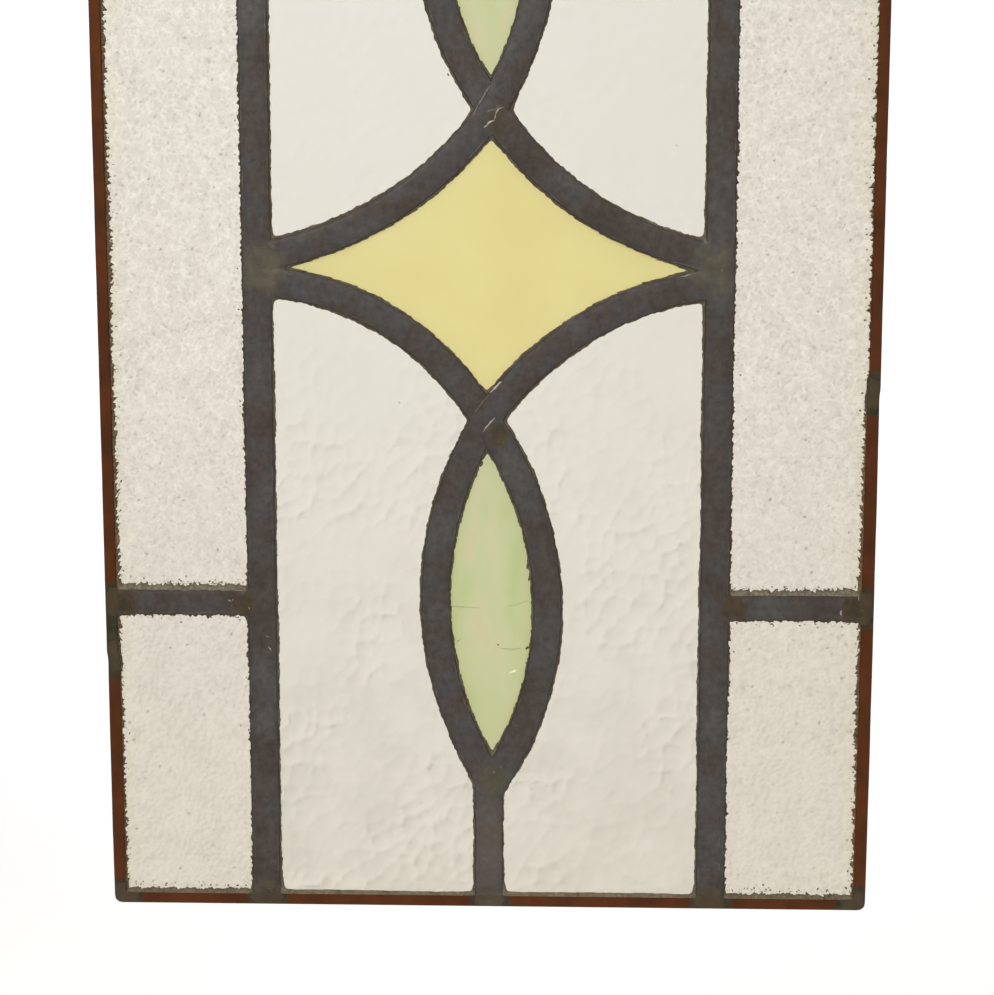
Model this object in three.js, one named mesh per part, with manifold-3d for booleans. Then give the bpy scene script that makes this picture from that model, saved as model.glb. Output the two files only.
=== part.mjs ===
// A leaded light: a tall stained glass panel of thirteen panes held in lead cames, with a thin
// bronzed came round the edge. Millimetres. X runs across the panel, Z up, and the panel's
// front faces -Y. The origin is the middle of the bottom edge, on its underside.
import * as THREE from 'three';
import { mergeVertices } from 'three/addons/utils/BufferGeometryUtils.js';
import Module from 'manifold-3d';

const wasm = await Module();
wasm.setup();

// ---- Driving dimensions ---------------------------------------------------------------------

const HEIGHT = 556;
const PATTERN_X = 0.6; // the pattern's middle stands this far right of the panel's
const MIDDLE = new THREE.Vector2(PATTERN_X, HEIGHT / 2);

const GAP = 0.3; // between pieces that touch
const GLASS = 3; // thickness of every pane
const CHANNEL = 3.7; // groove that takes the glass, front to back
const PLAY = 0.4; // between a pane's edge and the bottom of its groove

// Lead came: an H in section, with a leaf in front, a leaf behind and a heart between them.
const LEAD = { face: 12.3, heart: 1.8, edge: 0.75, crown: 1.55, round: 0.4 };
const CROSS_FACE = 10.9; // the border's short cross cames are a narrower lead

// Edge came: a U in section, of thin bronzed metal, open towards the glass.
const RIM = { face: 4.9, web: 1.2, leaf: 1.1, round: 0.35, corner: 3 };

// Each side of the edge came is two lengths, and the upper one stands a little further out.
const SIDES = {
  left: { lower: 164.9, upper: 165.6, splice: 111 },
  right: { lower: 164.7, upper: 165.3, splice: 225 },
};

const UPRIGHT_X = 97.4; // heart of each upright came, from the panel's middle
const CROSS_Z = { left: 134.9, right: 133.5 }; // hearts of the lower border cross cames

// The curved cames meet at these points of the pattern's lower half, and the upper leaf is the
// lower one turned half round.
const LEAF_HEAD = new THREE.Vector2(-0.8, 213.5);
const LEAF_FOOT = new THREE.Vector2(2, 55.3);
const STEM_X = 0.6;
const LEAF_RADIUS = { left: 148, right: 137 };

// Sides of the diamond: height of each end on the upright came, and the bend's radius.
const DIAMOND = {
  upperLeft: { end: 282.4, radius: 147 },
  upperRight: { end: 281, radius: 142 },
  lowerLeft: { end: 272, radius: 117 },
  lowerRight: { end: 271, radius: 137 },
};
const DIAMOND_TIP_X = 90; // the yellow pane's side tips are cut blunt, under the lead

const BEND_STEP = 9; // longest straight facet along a bent came or pane edge

// ---- Materials ------------------------------------------------------------------------------

function plain(color, roughness, metalness, opacity = 1) {
  return new THREE.MeshStandardMaterial({
    color, roughness, metalness, opacity, transparent: opacity < 1,
  });
}

const makeLead = () => plain('#544f4c', 0.6, 0.6);
const makeBronze = () => plain('#5a3520', 0.45, 0.7);
const makeGranite = () => plain('#dfdace', 0.5, 0, 0.6);
const makeHammered = () => plain('#e1dccf', 0.15, 0, 0.45);
const makeYellow = () => plain('#e3d795', 0.2, 0, 0.9);
const makeGreen = () => plain('#c4c99f', 0.2, 0, 0.9);

// ---- Plane geometry: points are Vector2(x, z) -------------------------------------------------

const turned = (point) => MIDDLE.clone().multiplyScalar(2).sub(point);

// A circular bend from one point to another. Seen from the front, side is +1 where its centre
// lies to the left of the way there, and -1 where it lies to the right.
class Bend extends THREE.Curve {
  constructor(from, to, radius, side) {
    super();
    const way = to.clone().sub(from);
    const rise = Math.sqrt(radius ** 2 - way.lengthSq() / 4);
    const left = new THREE.Vector2(-way.y, way.x).normalize();
    this.centre = from.clone().add(to).multiplyScalar(0.5).addScaledVector(left, side * rise);
    this.radius = radius;
    this.start = from.clone().sub(this.centre).angle();
    this.turn = side * 2 * Math.asin(way.length() / 2 / radius);
  }

  getPoint(t, target = new THREE.Vector3()) {
    const angle = this.start + this.turn * t;
    const x = this.centre.x + this.radius * Math.cos(angle);
    return target.set(x, 0, this.centre.y + this.radius * Math.sin(angle));
  }
}

// The border of a pane: a straight line (all points p with p . normal = reach) or a circle.
const upLine = (x) => ({ normal: new THREE.Vector2(1, 0), reach: x });
const levelLine = (z) => ({ normal: new THREE.Vector2(0, 1), reach: z });
const ringOf = (bend, grow) => ({ centre: bend.centre, radius: bend.radius + grow });

function lineMeetsLine(a, b) {
  const det = a.normal.cross(b.normal);
  const x = (a.reach * b.normal.y - b.reach * a.normal.y) / det;
  const z = (a.normal.x * b.reach - b.normal.x * a.reach) / det;
  return [new THREE.Vector2(x, z)];
}

function lineMeetsRing(line, ring) {
  const off = line.reach - line.normal.dot(ring.centre);
  const half = Math.sqrt(ring.radius ** 2 - off ** 2);
  const along = new THREE.Vector2(-line.normal.y, line.normal.x);
  const foot = ring.centre.clone().addScaledVector(line.normal, off);
  return [half, -half].map((step) => foot.clone().addScaledVector(along, step));
}

function ringMeetsRing(a, b) {
  const apart = b.centre.clone().sub(a.centre);
  const distance = apart.length();
  const off = (a.radius ** 2 - b.radius ** 2 + distance ** 2) / (2 * distance);
  const normal = apart.divideScalar(distance);
  return lineMeetsRing({ normal, reach: normal.dot(a.centre) + off }, a);
}

// Where two borders meet, nearest to a known point.
function corner(a, b, near) {
  let found = [];
  if (a.centre && b.centre) found = ringMeetsRing(a, b);
  else if (a.centre) found = lineMeetsRing(b, a);
  else if (b.centre) found = lineMeetsRing(a, b);
  else found = lineMeetsLine(a, b);
  return found.sort((p, q) => p.distanceTo(near) - q.distanceTo(near))[0];
}

// Points of a closed outline whose borders are given in turn, each with a point near the corner
// where it starts.
function outlineOf(borders) {
  const corners = borders.map(([border, near], i) => {
    const before = borders[(i + borders.length - 1) % borders.length][0];
    return corner(before, border, near);
  });
  const points = [];
  borders.forEach(([border], i) => {
    const from = corners[i];
    const to = corners[(i + 1) % corners.length];
    points.push(from);
    if (!border.centre) return;
    const start = from.clone().sub(border.centre).angle();
    const swing = to.clone().sub(border.centre).angle() - start;
    const turn = swing - 2 * Math.PI * Math.round(swing / (2 * Math.PI));
    const steps = Math.ceil((Math.abs(turn) * border.radius) / BEND_STEP);
    for (let k = 1; k < steps; k += 1) {
      const angle = start + (turn * k) / steps;
      const spoke = new THREE.Vector2(Math.cos(angle), Math.sin(angle));
      points.push(border.centre.clone().addScaledVector(spoke, border.radius));
    }
  });
  return points;
}

// ---- Solids ---------------------------------------------------------------------------------

function toManifold(geometry) {
  geometry.deleteAttribute('normal');
  geometry.deleteAttribute('uv');
  const welded = mergeVertices(geometry, 1e-4);
  const solid = new wasm.Manifold(new wasm.Mesh({
    numProp: 3,
    vertProperties: new Float32Array(welded.attributes.position.array),
    triVerts: new Uint32Array(welded.index.array),
  }));
  if (solid.volume() > 0) return solid;
  welded.index.array.reverse();
  return toManifold(welded);
}

function toGeometry(solid) {
  const mesh = solid.getMesh();
  const geometry = new THREE.BufferGeometry();
  geometry.setAttribute('position', new THREE.BufferAttribute(mesh.vertProperties, 3));
  geometry.setIndex(new THREE.BufferAttribute(mesh.triVerts, 1));
  return geometry;
}

// A flat plate standing in the panel's plane, centred on it, from an outline of (x, z) points.
function plate(points, thickness) {
  const geometry = new THREE.ExtrudeGeometry(new THREE.Shape(points), {
    depth: thickness, bevelEnabled: false,
  });
  geometry.rotateX(Math.PI / 2);
  geometry.translate(0, thickness / 2, 0);
  return toManifold(geometry);
}

// A section carried along a path. In the section's shape, x is front to back and y across.
function carried(section, path) {
  const steps = path.isLineCurve3 ? 1 : Math.ceil(path.getLength() / BEND_STEP);
  return toManifold(new THREE.ExtrudeGeometry(section, { steps, extrudePath: path }));
}

// Half of the H, then the same turned about the section's centre.
function leadSection(face) {
  const { heart, edge, crown, round } = LEAD;
  const inner = CHANNEL / 2;
  const half = face / 2;
  const leaf = [
    [inner, -heart / 2],
    [inner, -half],
    [inner + edge, -half],
    [inner + edge + (crown - edge) * 0.5, -half + round],
    [inner + edge + (crown - edge) * 0.88, -half * 0.55],
    [inner + crown, 0],
    [inner + edge + (crown - edge) * 0.88, half * 0.55],
    [inner + edge + (crown - edge) * 0.5, half - round],
    [inner + edge, half],
    [inner, half],
    [inner, heart / 2],
  ];
  const back = leaf.map(([depth, across]) => [-depth, -across]);
  return new THREE.Shape([...leaf, ...back].map(([x, y]) => new THREE.Vector2(x, y)));
}

// The room that a lead came takes up, with the gap that its neighbours keep from it.
function roomSection(face) {
  const depth = CHANNEL + 2 * LEAD.crown + 2;
  const across = face + 2 * GAP;
  return new THREE.Shape([[-1, -1], [1, -1], [1, 1], [-1, 1]].map(
    ([x, y]) => new THREE.Vector2((x * depth) / 2, (y * across) / 2),
  ));
}

// The U of the edge came, its web along y = 0 and its leaves reaching to y = face.
function rimSection() {
  const { face, web, leaf, round } = RIM;
  const inner = CHANNEL / 2;
  const outer = inner + leaf;
  const half = [
    [outer - round, 0],
    [outer, round],
    [outer, face - round],
    [outer - round, face],
    [inner, face],
    [inner, web],
  ];
  const other = half.map(([depth, across]) => [-depth, across]).reverse();
  return new THREE.Shape([...half, ...other].map(([x, y]) => new THREE.Vector2(x, y)));
}

const inSpace = (point) => new THREE.Vector3(point.x, 0, point.y);
const straight = (from, to) => new THREE.LineCurve3(inSpace(from), inSpace(to));
const at = (x, z) => new THREE.Vector2(x, z);

// ---- The lines that the cames follow ----------------------------------------------------------

const leafLeft = new Bend(LEAF_HEAD, LEAF_FOOT, LEAF_RADIUS.left, 1);
const leafRight = new Bend(LEAF_HEAD, LEAF_FOOT, LEAF_RADIUS.right, -1);
const upperHead = turned(LEAF_HEAD);
const upperFoot = turned(LEAF_FOOT);
const upperLeafRight = new Bend(upperHead, upperFoot, LEAF_RADIUS.left, 1);
const upperLeafLeft = new Bend(upperHead, upperFoot, LEAF_RADIUS.right, -1);

const diamondEnd = (side, x) => at(x, DIAMOND[side].end);
const diamondUL = new Bend(
  diamondEnd('upperLeft', -UPRIGHT_X), upperHead, DIAMOND.upperLeft.radius, 1,
);
const diamondUR = new Bend(
  diamondEnd('upperRight', UPRIGHT_X), upperHead, DIAMOND.upperRight.radius, -1,
);
const diamondLL = new Bend(
  diamondEnd('lowerLeft', -UPRIGHT_X), LEAF_HEAD, DIAMOND.lowerLeft.radius, -1,
);
const diamondLR = new Bend(
  diamondEnd('lowerRight', UPRIGHT_X), LEAF_HEAD, DIAMOND.lowerRight.radius, 1,
);

// One length of lead: a side of the diamond that runs on as a side of the leaf.
function joined(...lengths) {
  const path = new THREE.CurvePath();
  lengths.forEach((length) => path.add(length));
  return path;
}

const upperThrough = joined(diamondUL, upperLeafRight);
const lowerThrough = joined(diamondLR, leafLeft);

// ---- Lead cames -------------------------------------------------------------------------------

const leadFull = leadSection(LEAD.face);
const roomFull = roomSection(LEAD.face);

// The room that a came along the path takes up, with the gap round it and past its end.
function roomOf(path) {
  const end = path.getPoint(1);
  const past = end.clone().addScaledVector(path.getTangent(1), GAP);
  return carried(roomFull, joined(path, new THREE.LineCurve3(end, past)));
}

const cutBack = (came, neighbours) => neighbours.reduce((left, room) => left.subtract(room), came);
const bentCame = (path, neighbours) => cutBack(carried(leadFull, path), neighbours);

// A short upright length between the edge and the foot of a leaf, pointed to fit between the
// leaf's two sides.
function stemCame(edgeZ, footZ, x, neighbours) {
  return cutBack(carried(leadFull, straight(at(x, edgeZ), at(x, footZ))), neighbours);
}

const rimIn = RIM.face + GAP;
const leadGroup = new THREE.Group();
const rimGroup = new THREE.Group();
const glassGroup = new THREE.Group();

function add(group, name, solid, material) {
  const mesh = new THREE.Mesh(toGeometry(solid), material);
  mesh.name = name;
  group.add(mesh);
  return mesh;
}

const signOf = (side) => (side === 'left' ? -1 : 1);
const outerX = (side, length) => signOf(side) * SIDES[side][length];

// The upper border cross cames are the lower ones turned half round.
function crossZ(side, level) {
  if (level === 'lower') return CROSS_Z[side];
  return HEIGHT - CROSS_Z[side === 'left' ? 'right' : 'left'];
}

// The lengths of the edge came that a cross came meets, by its height.
const edgeLengthAt = (side, z) => (z > SIDES[side].splice ? 'upper' : 'lower');

function addUprights() {
  const solid = carried(leadFull, straight(at(0, 0), at(0, HEIGHT - 2 * rimIn)));
  for (const side of ['left', 'right']) {
    const mesh = add(leadGroup, `upright_came_${side}`, solid, makeLead());
    mesh.position.set(signOf(side) * UPRIGHT_X, 0, rimIn);
  }
}

function addCrossCames() {
  const section = leadSection(CROSS_FACE);
  const inner = UPRIGHT_X + LEAD.face / 2 + GAP;
  for (const level of ['lower', 'upper']) {
    for (const side of ['left', 'right']) {
      const z = crossZ(side, level);
      const length = Math.abs(outerX(side, edgeLengthAt(side, z))) - rimIn - inner;
      const solid = carried(section, straight(at(0, 0), at(0, length)));
      const mesh = add(leadGroup, `cross_came_${level}_${side}`, solid, makeLead());
      mesh.position.set(signOf(side) * inner, 0, z);
      mesh.rotation.y = (signOf(side) * Math.PI) / 2;
    }
  }
}

function addBentCames() {
  const uprightRoom = (x) => carried(roomFull, straight(at(x, 0), at(x, HEIGHT)));
  const leftRoom = uprightRoom(-UPRIGHT_X);
  const rightRoom = uprightRoom(UPRIGHT_X);
  const upperRoom = roomOf(upperThrough);
  const lowerRoom = roomOf(lowerThrough);
  const upperLeaf = [upperRoom, roomOf(upperLeafLeft)];
  const lowerLeaf = [lowerRoom, roomOf(leafRight)];
  const upperStemX = turned(at(STEM_X, 0)).x;
  const pieces = {
    through_came_upper: bentCame(upperThrough, [leftRoom]),
    through_came_lower: bentCame(lowerThrough, [rightRoom]),
    diamond_came_upper_right: bentCame(diamondUR, [rightRoom, upperRoom, lowerRoom]),
    diamond_came_lower_left: bentCame(diamondLL, [leftRoom, lowerRoom, upperRoom]),
    leaf_came_upper_left: bentCame(upperLeafLeft, [upperRoom]),
    leaf_came_lower_right: bentCame(leafRight, [lowerRoom]),
    stem_came_upper: stemCame(HEIGHT - rimIn, upperFoot.y, upperStemX, upperLeaf),
    stem_came_lower: stemCame(rimIn, LEAF_FOOT.y, STEM_X, lowerLeaf),
  };
  for (const [name, solid] of Object.entries(pieces)) add(leadGroup, name, solid, makeLead());
}

// ---- Edge came --------------------------------------------------------------------------------

const BLANK = 20; // thickness of the plates that only cut

// What is cut away to round a corner of the panel: a square less a quarter circle. The panel
// lies towards (sideX, sideZ) from the corner.
function cornerWaste({ x, y: z }, sideX, sideZ) {
  const { corner: r } = RIM;
  const over = 1;
  const steps = 6;
  const points = [at(r, -over), at(-over, -over), at(-over, r)];
  for (let k = 0; k <= steps; k += 1) {
    const angle = (Math.PI / 2) * (k / steps);
    points.push(at(r * (1 - Math.cos(angle)), r * (1 - Math.sin(angle))));
  }
  return plate(points.map((p) => at(x + sideX * p.x, z + sideZ * p.y)), BLANK);
}

// A length of edge came whose outer face runs from one point to another, with the panel on the
// left of the way. Each end is cut to a mitre or square.
function rimLength(from, to, mitreFrom, mitreTo) {
  const along = to.clone().sub(from);
  const length = along.length();
  along.normalize();
  const inward = at(-along.y, along.x);
  const geometry = new THREE.ExtrudeGeometry(rimSection(), { depth: length, bevelEnabled: false });
  const basis = new THREE.Matrix4();
  basis.makeBasis(new THREE.Vector3(0, 1, 0), inSpace(inward), inSpace(along));
  geometry.applyMatrix4(basis.setPosition(inSpace(from)));

  const spot = (start, forward, deep) => (
    start.clone().addScaledVector(along, forward).addScaledVector(inward, deep)
  );
  const deep = RIM.face + 1;
  const [backFrom, backTo] = [mitreFrom, mitreTo].map((cut) => (cut ? GAP / Math.SQRT2 : GAP / 2));
  const outline = [
    spot(from, backFrom, 0),
    spot(to, -backTo, 0),
    spot(to, -backTo - (mitreTo ? deep : 0), deep),
    spot(from, backFrom + (mitreFrom ? deep : 0), deep),
  ];
  return toManifold(geometry).intersect(plate(outline, BLANK));
}

function addEdgeCames() {
  const corners = {
    bottomLeft: at(outerX('left', 'lower'), 0),
    bottomRight: at(outerX('right', 'lower'), 0),
    topRight: at(outerX('right', 'upper'), HEIGHT),
    topLeft: at(outerX('left', 'upper'), HEIGHT),
  };
  const splice = (side, length) => at(outerX(side, length), SIDES[side].splice);
  const wastes = [
    cornerWaste(corners.bottomLeft, 1, 1),
    cornerWaste(corners.bottomRight, -1, 1),
    cornerWaste(corners.topRight, -1, -1),
    cornerWaste(corners.topLeft, 1, -1),
  ];
  const { bottomLeft, bottomRight, topRight, topLeft } = corners;
  const lengths = {
    bottom: rimLength(bottomLeft, bottomRight, true, true),
    right_lower: rimLength(bottomRight, splice('right', 'lower'), true, false),
    right_upper: rimLength(splice('right', 'upper'), topRight, false, true),
    top: rimLength(topRight, topLeft, true, true),
    left_upper: rimLength(topLeft, splice('left', 'upper'), true, false),
    left_lower: rimLength(splice('left', 'lower'), bottomLeft, false, true),
  };
  for (const [name, solid] of Object.entries(lengths)) {
    add(rimGroup, `edge_came_${name}`, cutBack(solid, wastes), makeBronze());
  }
}

// ---- Panes ------------------------------------------------------------------------------------

const inHeart = LEAD.heart / 2 + PLAY; // from a lead came's line to a pane's edge
const inRim = RIM.web + PLAY; // from the panel's outer face to a pane's edge

function addPane(name, points, material) {
  return add(glassGroup, name, plate(points, GLASS), material);
}

// The border panes are rectangles: a short one in each corner and a long one between them.
function addBorderPanes() {
  for (const side of ['left', 'right']) {
    const outer = signOf(side) * (SIDES[side].lower - inRim);
    const inner = signOf(side) * (UPRIGHT_X + inHeart);
    const lowZ = crossZ(side, 'lower');
    const highZ = crossZ(side, 'upper');
    const rows = {
      corner_pane_lower: [inRim, lowZ - inHeart],
      border_pane: [lowZ + inHeart, highZ - inHeart],
      corner_pane_upper: [highZ + inHeart, HEIGHT - inRim],
    };
    for (const [name, [z0, z1]] of Object.entries(rows)) {
      const points = [at(outer, z0), at(inner, z0), at(inner, z1), at(outer, z1)];
      addPane(`${name}_${side}`, points, makeGranite());
    }
  }
}

// The four clear panes between the uprights, round the diamond and the leaves. Each is inside
// its diamond side's circle and outside its leaf side's.
function addFieldPanes() {
  const lowStem = STEM_X;
  const highStem = turned(at(STEM_X, 0)).x;
  const fields = [
    ['lower_left', -1, inRim, lowStem, leafLeft, diamondLL, LEAF_FOOT, LEAF_HEAD],
    ['lower_right', 1, inRim, lowStem, leafRight, diamondLR, LEAF_FOOT, LEAF_HEAD],
    ['upper_left', -1, HEIGHT - inRim, highStem, upperLeafLeft, diamondUL, upperFoot, upperHead],
    ['upper_right', 1, HEIGHT - inRim, highStem, upperLeafRight, diamondUR, upperFoot, upperHead],
  ];
  for (const [name, sign, edgeZ, stemX, leafSide, diamondSide, foot, head] of fields) {
    const upright = sign * UPRIGHT_X;
    const points = outlineOf([
      [levelLine(edgeZ), at(upright, edgeZ)],
      [upLine(stemX + sign * inHeart), at(stemX, edgeZ)],
      [ringOf(leafSide, inHeart), foot],
      [ringOf(diamondSide, -inHeart), head],
      [upLine(upright - sign * inHeart), at(upright, MIDDLE.y)],
    ]);
    addPane(`field_pane_${name}`, points, makeHammered());
  }
}

function addDiamondPane() {
  const tip = (side, sign) => at(sign * DIAMOND_TIP_X, DIAMOND[side].end);
  const points = outlineOf([
    [upLine(-DIAMOND_TIP_X), tip('lowerLeft', -1)],
    [ringOf(diamondUL, inHeart), tip('upperLeft', -1)],
    [ringOf(diamondUR, inHeart), upperHead],
    [upLine(DIAMOND_TIP_X), tip('upperRight', 1)],
    [ringOf(diamondLR, inHeart), tip('lowerRight', 1)],
    [ringOf(diamondLL, inHeart), LEAF_HEAD],
  ]);
  addPane('diamond_pane', points, makeYellow());
}

// The upper leaf's pane is the lower one's shape, turned half round about the pattern's middle.
function addLeafPanes() {
  const points = outlineOf([
    [ringOf(leafLeft, -inHeart), LEAF_HEAD],
    [ringOf(leafRight, -inHeart), LEAF_FOOT],
  ]);
  addPane('leaf_pane_lower', points, makeGreen());
  const upper = addPane('leaf_pane_upper', points, makeGreen());
  upper.rotation.y = Math.PI;
  upper.position.set(2 * MIDDLE.x, 0, 2 * MIDDLE.y);
}

// ---- The panel --------------------------------------------------------------------------------

addEdgeCames();
addUprights();
addCrossCames();
addBentCames();
addBorderPanes();
addFieldPanes();
addDiamondPane();
addLeafPanes();

const panel = new THREE.Group();
panel.add(rimGroup, leadGroup, glassGroup);

export default panel;
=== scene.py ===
import math

import bpy
import numpy as np
from mathutils import Matrix


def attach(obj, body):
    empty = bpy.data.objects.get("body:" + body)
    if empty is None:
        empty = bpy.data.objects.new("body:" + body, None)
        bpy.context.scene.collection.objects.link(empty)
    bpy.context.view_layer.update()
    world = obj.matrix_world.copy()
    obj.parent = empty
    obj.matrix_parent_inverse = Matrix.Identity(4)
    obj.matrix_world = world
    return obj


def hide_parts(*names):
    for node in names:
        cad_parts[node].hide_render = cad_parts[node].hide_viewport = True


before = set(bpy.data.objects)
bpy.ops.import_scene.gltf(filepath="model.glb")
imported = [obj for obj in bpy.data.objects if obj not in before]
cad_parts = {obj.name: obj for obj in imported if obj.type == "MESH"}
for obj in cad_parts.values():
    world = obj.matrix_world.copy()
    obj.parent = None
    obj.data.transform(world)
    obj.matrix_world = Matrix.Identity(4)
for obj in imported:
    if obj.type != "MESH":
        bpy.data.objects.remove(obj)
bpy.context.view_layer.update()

MM = 0.001
TAU = 2 * math.pi
FRONT, BACK = 1, -1
SIDES = ((-1, "left"), (1, "right"))
LEVELS = ("lower", "upper")

# ---- Sizes of the panel, mm ----------------------------------------------------------------

HEIGHT = 556.0
MIDDLE_X = 0.6  # the pattern is the same when turned half round this upright line's middle
GLASS_FACE = 1.5  # from the mid-plane to a pane's face
CHANNEL_FACE = 1.85  # from the mid-plane to the underside of a came's leaf
LEAD_FACE = 12.3
CROSS_FACE = 10.9
LEAD_EDGE = 2.42  # height of a lead's outer surface at its edges
LEAD_CROWN = 3.05  # and along its middle
HEART = 0.9  # half the thickness of the lead's heart
RIM_FACE = 4.9
RIM_WEB = 1.2  # thickness of the edge came's outer wall
RIM_HEIGHT = 2.95
RIM_CORNER = 3.0
TOP_HEIGHT = 3.38  # nothing stands out further than this
SIDE_LOWER = {-1: 164.9, 1: 164.7}  # outer faces of the edge came, below and above its splice
SIDE_UPPER = {-1: 165.6, 1: 165.3}
SPLICE = {-1: 111.0, 1: 225.0}
UPRIGHT_X = 97.4
CROSS_LOW = {-1: 134.9, 1: 133.5}
HEAD = (-0.8, 213.5)  # where the lower leaf meets the diamond
FOOT = (2.0, 55.3)
PANE_IN = 1.3  # from a lead's centre-line to a pane's edge
RIM_IN = 1.6  # from the panel's outer face to a pane's edge


# ---- Lines that the leads follow -----------------------------------------------------------

def turned(point):
    """The point turned half round about the middle of the pattern."""
    return (2 * MIDDLE_X - point[0], HEIGHT - point[1])


def line(start, end):
    """A straight way from one point to another."""
    return {"start": np.array(start, float), "end": np.array(end, float), "side": 0}


def bend(start, end, radius, side):
    """A circular way through two points; side 1 puts its centre to the left of the way."""
    way = line(start, end)
    chord = way["end"] - way["start"]
    rise = math.sqrt(radius ** 2 - chord @ chord / 4)
    left = np.array((-chord[1], chord[0])) / np.linalg.norm(chord)
    centre = (way["start"] + way["end"]) / 2 + side * rise * left
    way.update(side=side, radius=radius, centre=centre)
    return way


def back_along(way):
    """The same way walked from its end to its start."""
    return dict(way, start=way["end"], end=way["start"], side=-way["side"])


def left_of(way, p):
    """How far points lie to the left of the way, and the direction of left there."""
    if way["side"]:
        spoke = way["centre"] - p
        length = np.linalg.norm(spoke, axis=-1, keepdims=True)
        normal = way["side"] * spoke / length
        return way["side"] * (way["radius"] - length[..., 0]), normal
    along = way["end"] - way["start"]
    along = along / np.linalg.norm(along)
    normal = np.array((-along[1], along[0])) + 0 * p
    return (p - way["start"]) @ normal.reshape(-1, 2)[0], normal


def onto(way, p, off):
    """Points moved straight across the way until they lie off to its left."""
    distance, normal = left_of(way, p)
    return p + (off - distance)[..., None] * normal


def meeting(a, off_a, b, off_b, near):
    """Where two ways, each shifted to its left, cross: Newton's steps from a point near it."""
    p = np.array(near, float)
    for _ in range(12):
        fa, na = left_of(a, p)
        fb, nb = left_of(b, p)
        p = p + np.linalg.solve(np.array((na, nb)), np.array((off_a - fa, off_b - fb)))
    return p


def walked(way, count):
    """Evenly spaced points from the start of a way to its end."""
    t = np.linspace(0, 1, count)[:, None]
    if not way["side"]:
        return way["start"] + t * (way["end"] - way["start"])
    a = np.arctan2(*(way["start"] - way["centre"])[::-1])
    b = np.arctan2(*(way["end"] - way["centre"])[::-1])
    turn = (b - a + math.pi) % TAU - math.pi
    angle = a + turn * t[:, 0]
    spokes = np.stack((np.cos(angle), np.sin(angle)), -1)
    return way["centre"] + way["radius"] * spokes


def run_along(p):
    """The distance along a line of points, from the first to each of them."""
    return np.concatenate(([0], np.cumsum(np.linalg.norm(np.diff(p, axis=0), axis=1))))


def spread_out(p, run, s):
    """Points at distances s along a line of points p that lie at distances run."""
    return np.stack([np.interp(s, run, p[:, k]) for k in (0, 1)], -1)


def left_normals(p):
    """The direction of left at each point of a line of points."""
    along = np.gradient(p, axis=0)
    along /= np.linalg.norm(along, axis=1)[:, None]
    return np.stack((-along[:, 1], along[:, 0]), -1)


LEAF_LEFT = bend(HEAD, FOOT, 148, 1)
LEAF_RIGHT = bend(HEAD, FOOT, 137, -1)
UP_HEAD, UP_FOOT = turned(HEAD), turned(FOOT)
UP_LEAF_RIGHT = bend(UP_HEAD, UP_FOOT, 148, 1)
UP_LEAF_LEFT = bend(UP_HEAD, UP_FOOT, 137, -1)
DIAMOND_UL = bend((-UPRIGHT_X, 282.4), UP_HEAD, 147, 1)
DIAMOND_UR = bend((UPRIGHT_X, 281.0), UP_HEAD, 142, -1)
DIAMOND_LL = bend((-UPRIGHT_X, 272.0), HEAD, 117, -1)
DIAMOND_LR = bend((UPRIGHT_X, 271.0), HEAD, 137, 1)
LEAVES = {("lower", -1): LEAF_LEFT, ("lower", 1): LEAF_RIGHT,
          ("upper", -1): UP_LEAF_LEFT, ("upper", 1): UP_LEAF_RIGHT}
SLOPES = {("lower", -1): DIAMOND_LL, ("lower", 1): DIAMOND_LR,
          ("upper", -1): DIAMOND_UL, ("upper", 1): DIAMOND_UR}
UPRIGHT = {s: line((s * UPRIGHT_X, 0), (s * UPRIGHT_X, HEIGHT)) for s in (-1, 1)}
STEM_LOW = line((MIDDLE_X, 0), (MIDDLE_X, FOOT[1]))
STEM_HIGH = line((MIDDLE_X, HEIGHT), (MIDDLE_X, UP_FOOT[1]))
CROSS_HIGH = {s: HEIGHT - CROSS_LOW[-s] for s in (-1, 1)}


def cross_way(side, z):
    """The short cross lead of a border, from its upright lead out to the edge."""
    return line((side * UPRIGHT_X, z), (side * SIDE_LOWER[side], z))


# ---- Unevenness, always the same for the same seed -------------------------------------------

def wave(s, length, seed):
    """Uneven line of about unit size: four sines, each half as long and smaller."""
    rng = np.random.default_rng(seed)
    total = np.zeros_like(s, float)
    for k in range(4):
        pitch = length / 1.9 ** k * rng.uniform(0.8, 1.25)
        total = total + np.sin(TAU * s / pitch + rng.uniform(0, TAU)) / 1.5 ** k
    return total / 1.6


def lattice(ix, iz, seed):
    """A number from 0 to 1 for each lattice point, from a whole-number hash."""
    h = (ix * 374761393 + iz * 668265263 + seed * 974711) & 0xFFFFFFFF
    h = ((h ^ (h >> 13)) * 1274126177) & 0xFFFFFFFF
    return ((h ^ (h >> 16)) & 0xFFFF) / 65535.0


def cloud(x, z, size, seed):
    """Soft noise from 0 to 1: lattice numbers, blended smoothly between lattice points."""
    gx, gz = x / size, z / size
    ix, iz = np.floor(gx).astype(np.int64), np.floor(gz).astype(np.int64)
    fx, fz = gx - ix, gz - iz
    fx, fz = fx * fx * (3 - 2 * fx), fz * fz * (3 - 2 * fz)
    low = lattice(ix, iz, seed) * (1 - fx) + lattice(ix + 1, iz, seed) * fx
    high = lattice(ix, iz + 1, seed) * (1 - fx) + lattice(ix + 1, iz + 1, seed) * fx
    return low * (1 - fz) + high * fz


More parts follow.
